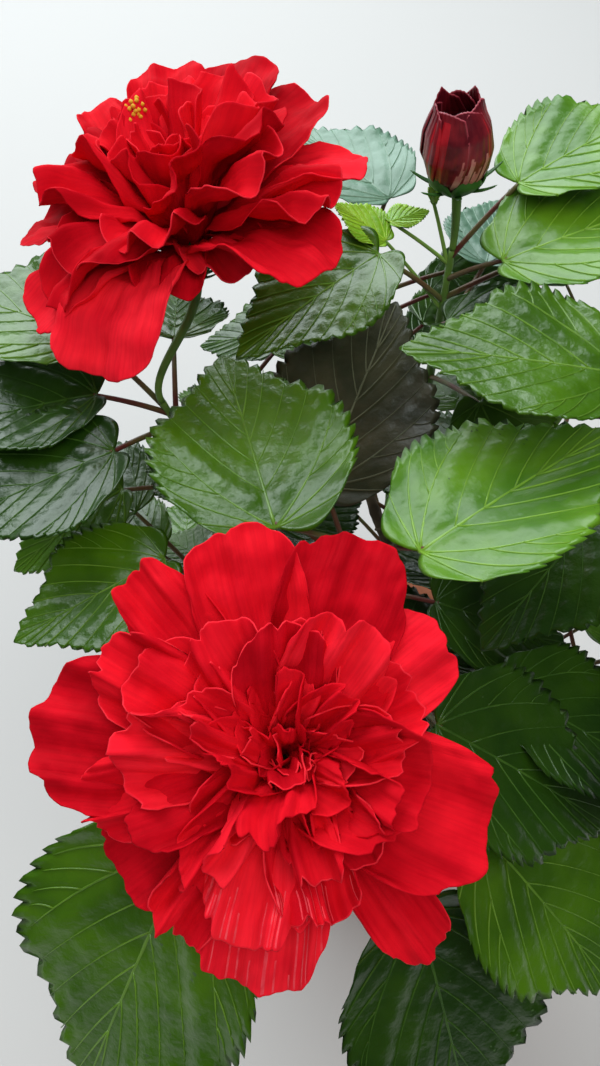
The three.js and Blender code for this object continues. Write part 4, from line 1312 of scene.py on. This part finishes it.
def cut_holes(pot):
    """The drain holes through the pot's floor."""
    holes = []
    for i in range(DRAIN.count):
        turn = 2 * math.pi * (i + 0.5) / DRAIN.count
        spot = around_axis(DRAIN.ring, 0, turn) / PER_METRE
        bpy.ops.mesh.primitive_cylinder_add(
            vertices=HOLE_SIDES, radius=DRAIN.radius / PER_METRE,
            depth=3 * POT.floor / PER_METRE, location=spot,
        )
        holes.append(bpy.context.object)
    for hole in holes:
        cut = pot.modifiers.new("hole", "BOOLEAN")
        cut.operation, cut.object, cut.solver = "DIFFERENCE", hole, "EXACT"
        bpy.context.view_layer.objects.active = pot
        bpy.ops.object.modifier_apply(modifier=cut.name)
        bpy.data.objects.remove(hole)


def thrown(radius, height, points):
    """The pot's faint throwing rings and unevenness."""
    dress = POT_DRESS
    rings = dress.ring * np.sin(height * dress.ring_pitch)
    rings = rings * (radius > POT.foot_radius - dress.ring_from)
    return radius + rings + dress.lump * lumps(points, dress.lump_size, dress.seed), height


def crumbled(radius, height, points):
    """The compost's uneven top."""
    dress = SOIL_DRESS
    uneven = dress.lump * lumps(points, dress.lump_size, dress.lump_seed)
    uneven = uneven + dress.crumb * lumps(points, dress.crumb_size, dress.crumb_seed)
    return radius, height + (height > SOIL_TOP - dress.loose) * uneven


def add_clods(soil, reach):
    rng = np.random.default_rng(CLOD.seed)
    for _ in range(CLOD.count):
        far = reach * math.sqrt(rng.uniform(CLOD.inner, 1))
        spot = direction(rng.uniform(0, 360), 0) * far + UP * (SOIL_TOP + rng.uniform(*CLOD.up))
        size = rng.uniform(*CLOD.size)
        way = unit(rng.normal(size=3)) * size
        path = np.linspace(spot - way, spot + way, CLOD.points)
        radii = size * rng.uniform(*CLOD.width) * rounded_ends(CLOD.points, CLOD.edge)
        look = "grit" if rng.uniform() < CLOD.grit else "soil"
        add_tube(soil, path, radii, CLOD.sides, look)


def dress_pot():
    floor, top = POT.floor, POT.height
    band_foot = top - POT.band_height
    inside_top = POT.rim_radius - POT.band_proud - POT.wall
    inside_foot = POT.foot_radius - POT.wall
    corners = [
        (0, 0), (POT.foot_radius, 0), (POT.band_foot_radius, band_foot),
        (POT.rim_radius, band_foot), (POT.rim_radius, top), (inside_top, top),
        (inside_foot, floor), (0, floor),
    ]
    pot = Mesh()
    profile = filled(rounded(corners, POT.edge), POT_DRESS.step)
    add_turned(pot, profile, POT_DRESS.sides, "clay", thrown)
    cut_holes(pot.build("pot_clay", "clay", ["pot"]))

    soil = Mesh()
    dress = SOIL_DRESS
    wall = inside_foot + (inside_top - inside_foot) * (SOIL_TOP - floor) / (top - floor)
    foot = floor + dress.gap
    profile = [
        (0, foot), (inside_foot - dress.gap, foot),
        (wall - dress.gap, SOIL_TOP - dress.shoulder), (wall - dress.rim, SOIL_TOP),
        (0, SOIL_TOP),
    ]
    add_turned(soil, filled(profile, dress.step), dress.sides, "soil", crumbled)
    add_clods(soil, wall - CLOD.margin)
    soil.build("soil_surface", "soil", ["soil"])


# Floor, light and camera, in metres

FLOOR = Values(size=12, color=(0.545, 0.530, 0.510), roughness=0.85)
SKY = Values(color=(0.86, 0.92, 1.0), strength=0.34)

# Each lamp: name, spot, size, power, colour, and whether it shows in reflections
LAMPS = (
    ("key", (-0.6, 1.35, 1.65), 2.3, 66, (0.88, 0.96, 1.0), True),
    ("top", (0.4, -0.7, 2.2), 1.7, 23, (1.0, 0.97, 0.93), False),
)
LAMPS_AIM = np.array([0, 0, 0.3])
CAMERA = Values(spot=(-0.040, -0.185, 0.582), tilt=35, lens=28.03, sensor=36, near=0.01)


def add_lamp(name, spot, size, power, color, glossy):
    light = bpy.data.lights.new(name, "AREA")
    light.size, light.energy, light.color = size, power, color
    lamp = bpy.data.objects.new(name, light)
    lamp.visible_glossy, lamp.location = glossy, spot
    x, y, z = LAMPS_AIM - np.array(spot)
    lamp.rotation_euler = (math.atan2(math.hypot(x, y), -z), 0, math.atan2(-x, y))
    bpy.context.scene.collection.objects.link(lamp)


def set_stage():
    bpy.ops.mesh.primitive_plane_add(size=FLOOR.size)
    floor = bpy.context.object
    floor.name = "floor"
    made, shader = new_material("pale_floor", FLOOR.roughness)
    shader.inputs["Base Color"].default_value = (*FLOOR.color, 1)
    floor.data.materials.append(made)
    world = bpy.data.worlds.new("studio")
    world.use_nodes = True
    sky = world.node_tree.nodes["Background"]
    sky.inputs["Color"].default_value = (*SKY.color, 1)
    sky.inputs["Strength"].default_value = SKY.strength
    world.cycles_visibility.glossy = False
    bpy.context.scene.world = world
    for lamp in LAMPS:
        add_lamp(*lamp)
    bpy.context.scene.view_settings.view_transform = "Standard"


def set_camera():
    """The photograph's view, from above the front with the camera pitched well down."""
    lens = bpy.data.cameras.new("camera")
    lens.sensor_width, lens.lens, lens.clip_start = CAMERA.sensor, CAMERA.lens, CAMERA.near
    camera = bpy.data.objects.new("camera", lens)
    camera.location = CAMERA.spot
    camera.rotation_euler = (math.radians(CAMERA.tilt), 0, 0)
    bpy.context.scene.collection.objects.link(camera)
    bpy.context.scene.camera = camera


set_camera()
set_stage()
dress_pot()
dress_limbs()
dress_leaves(grow_leaves())
dress_blooms()
dress_bud()
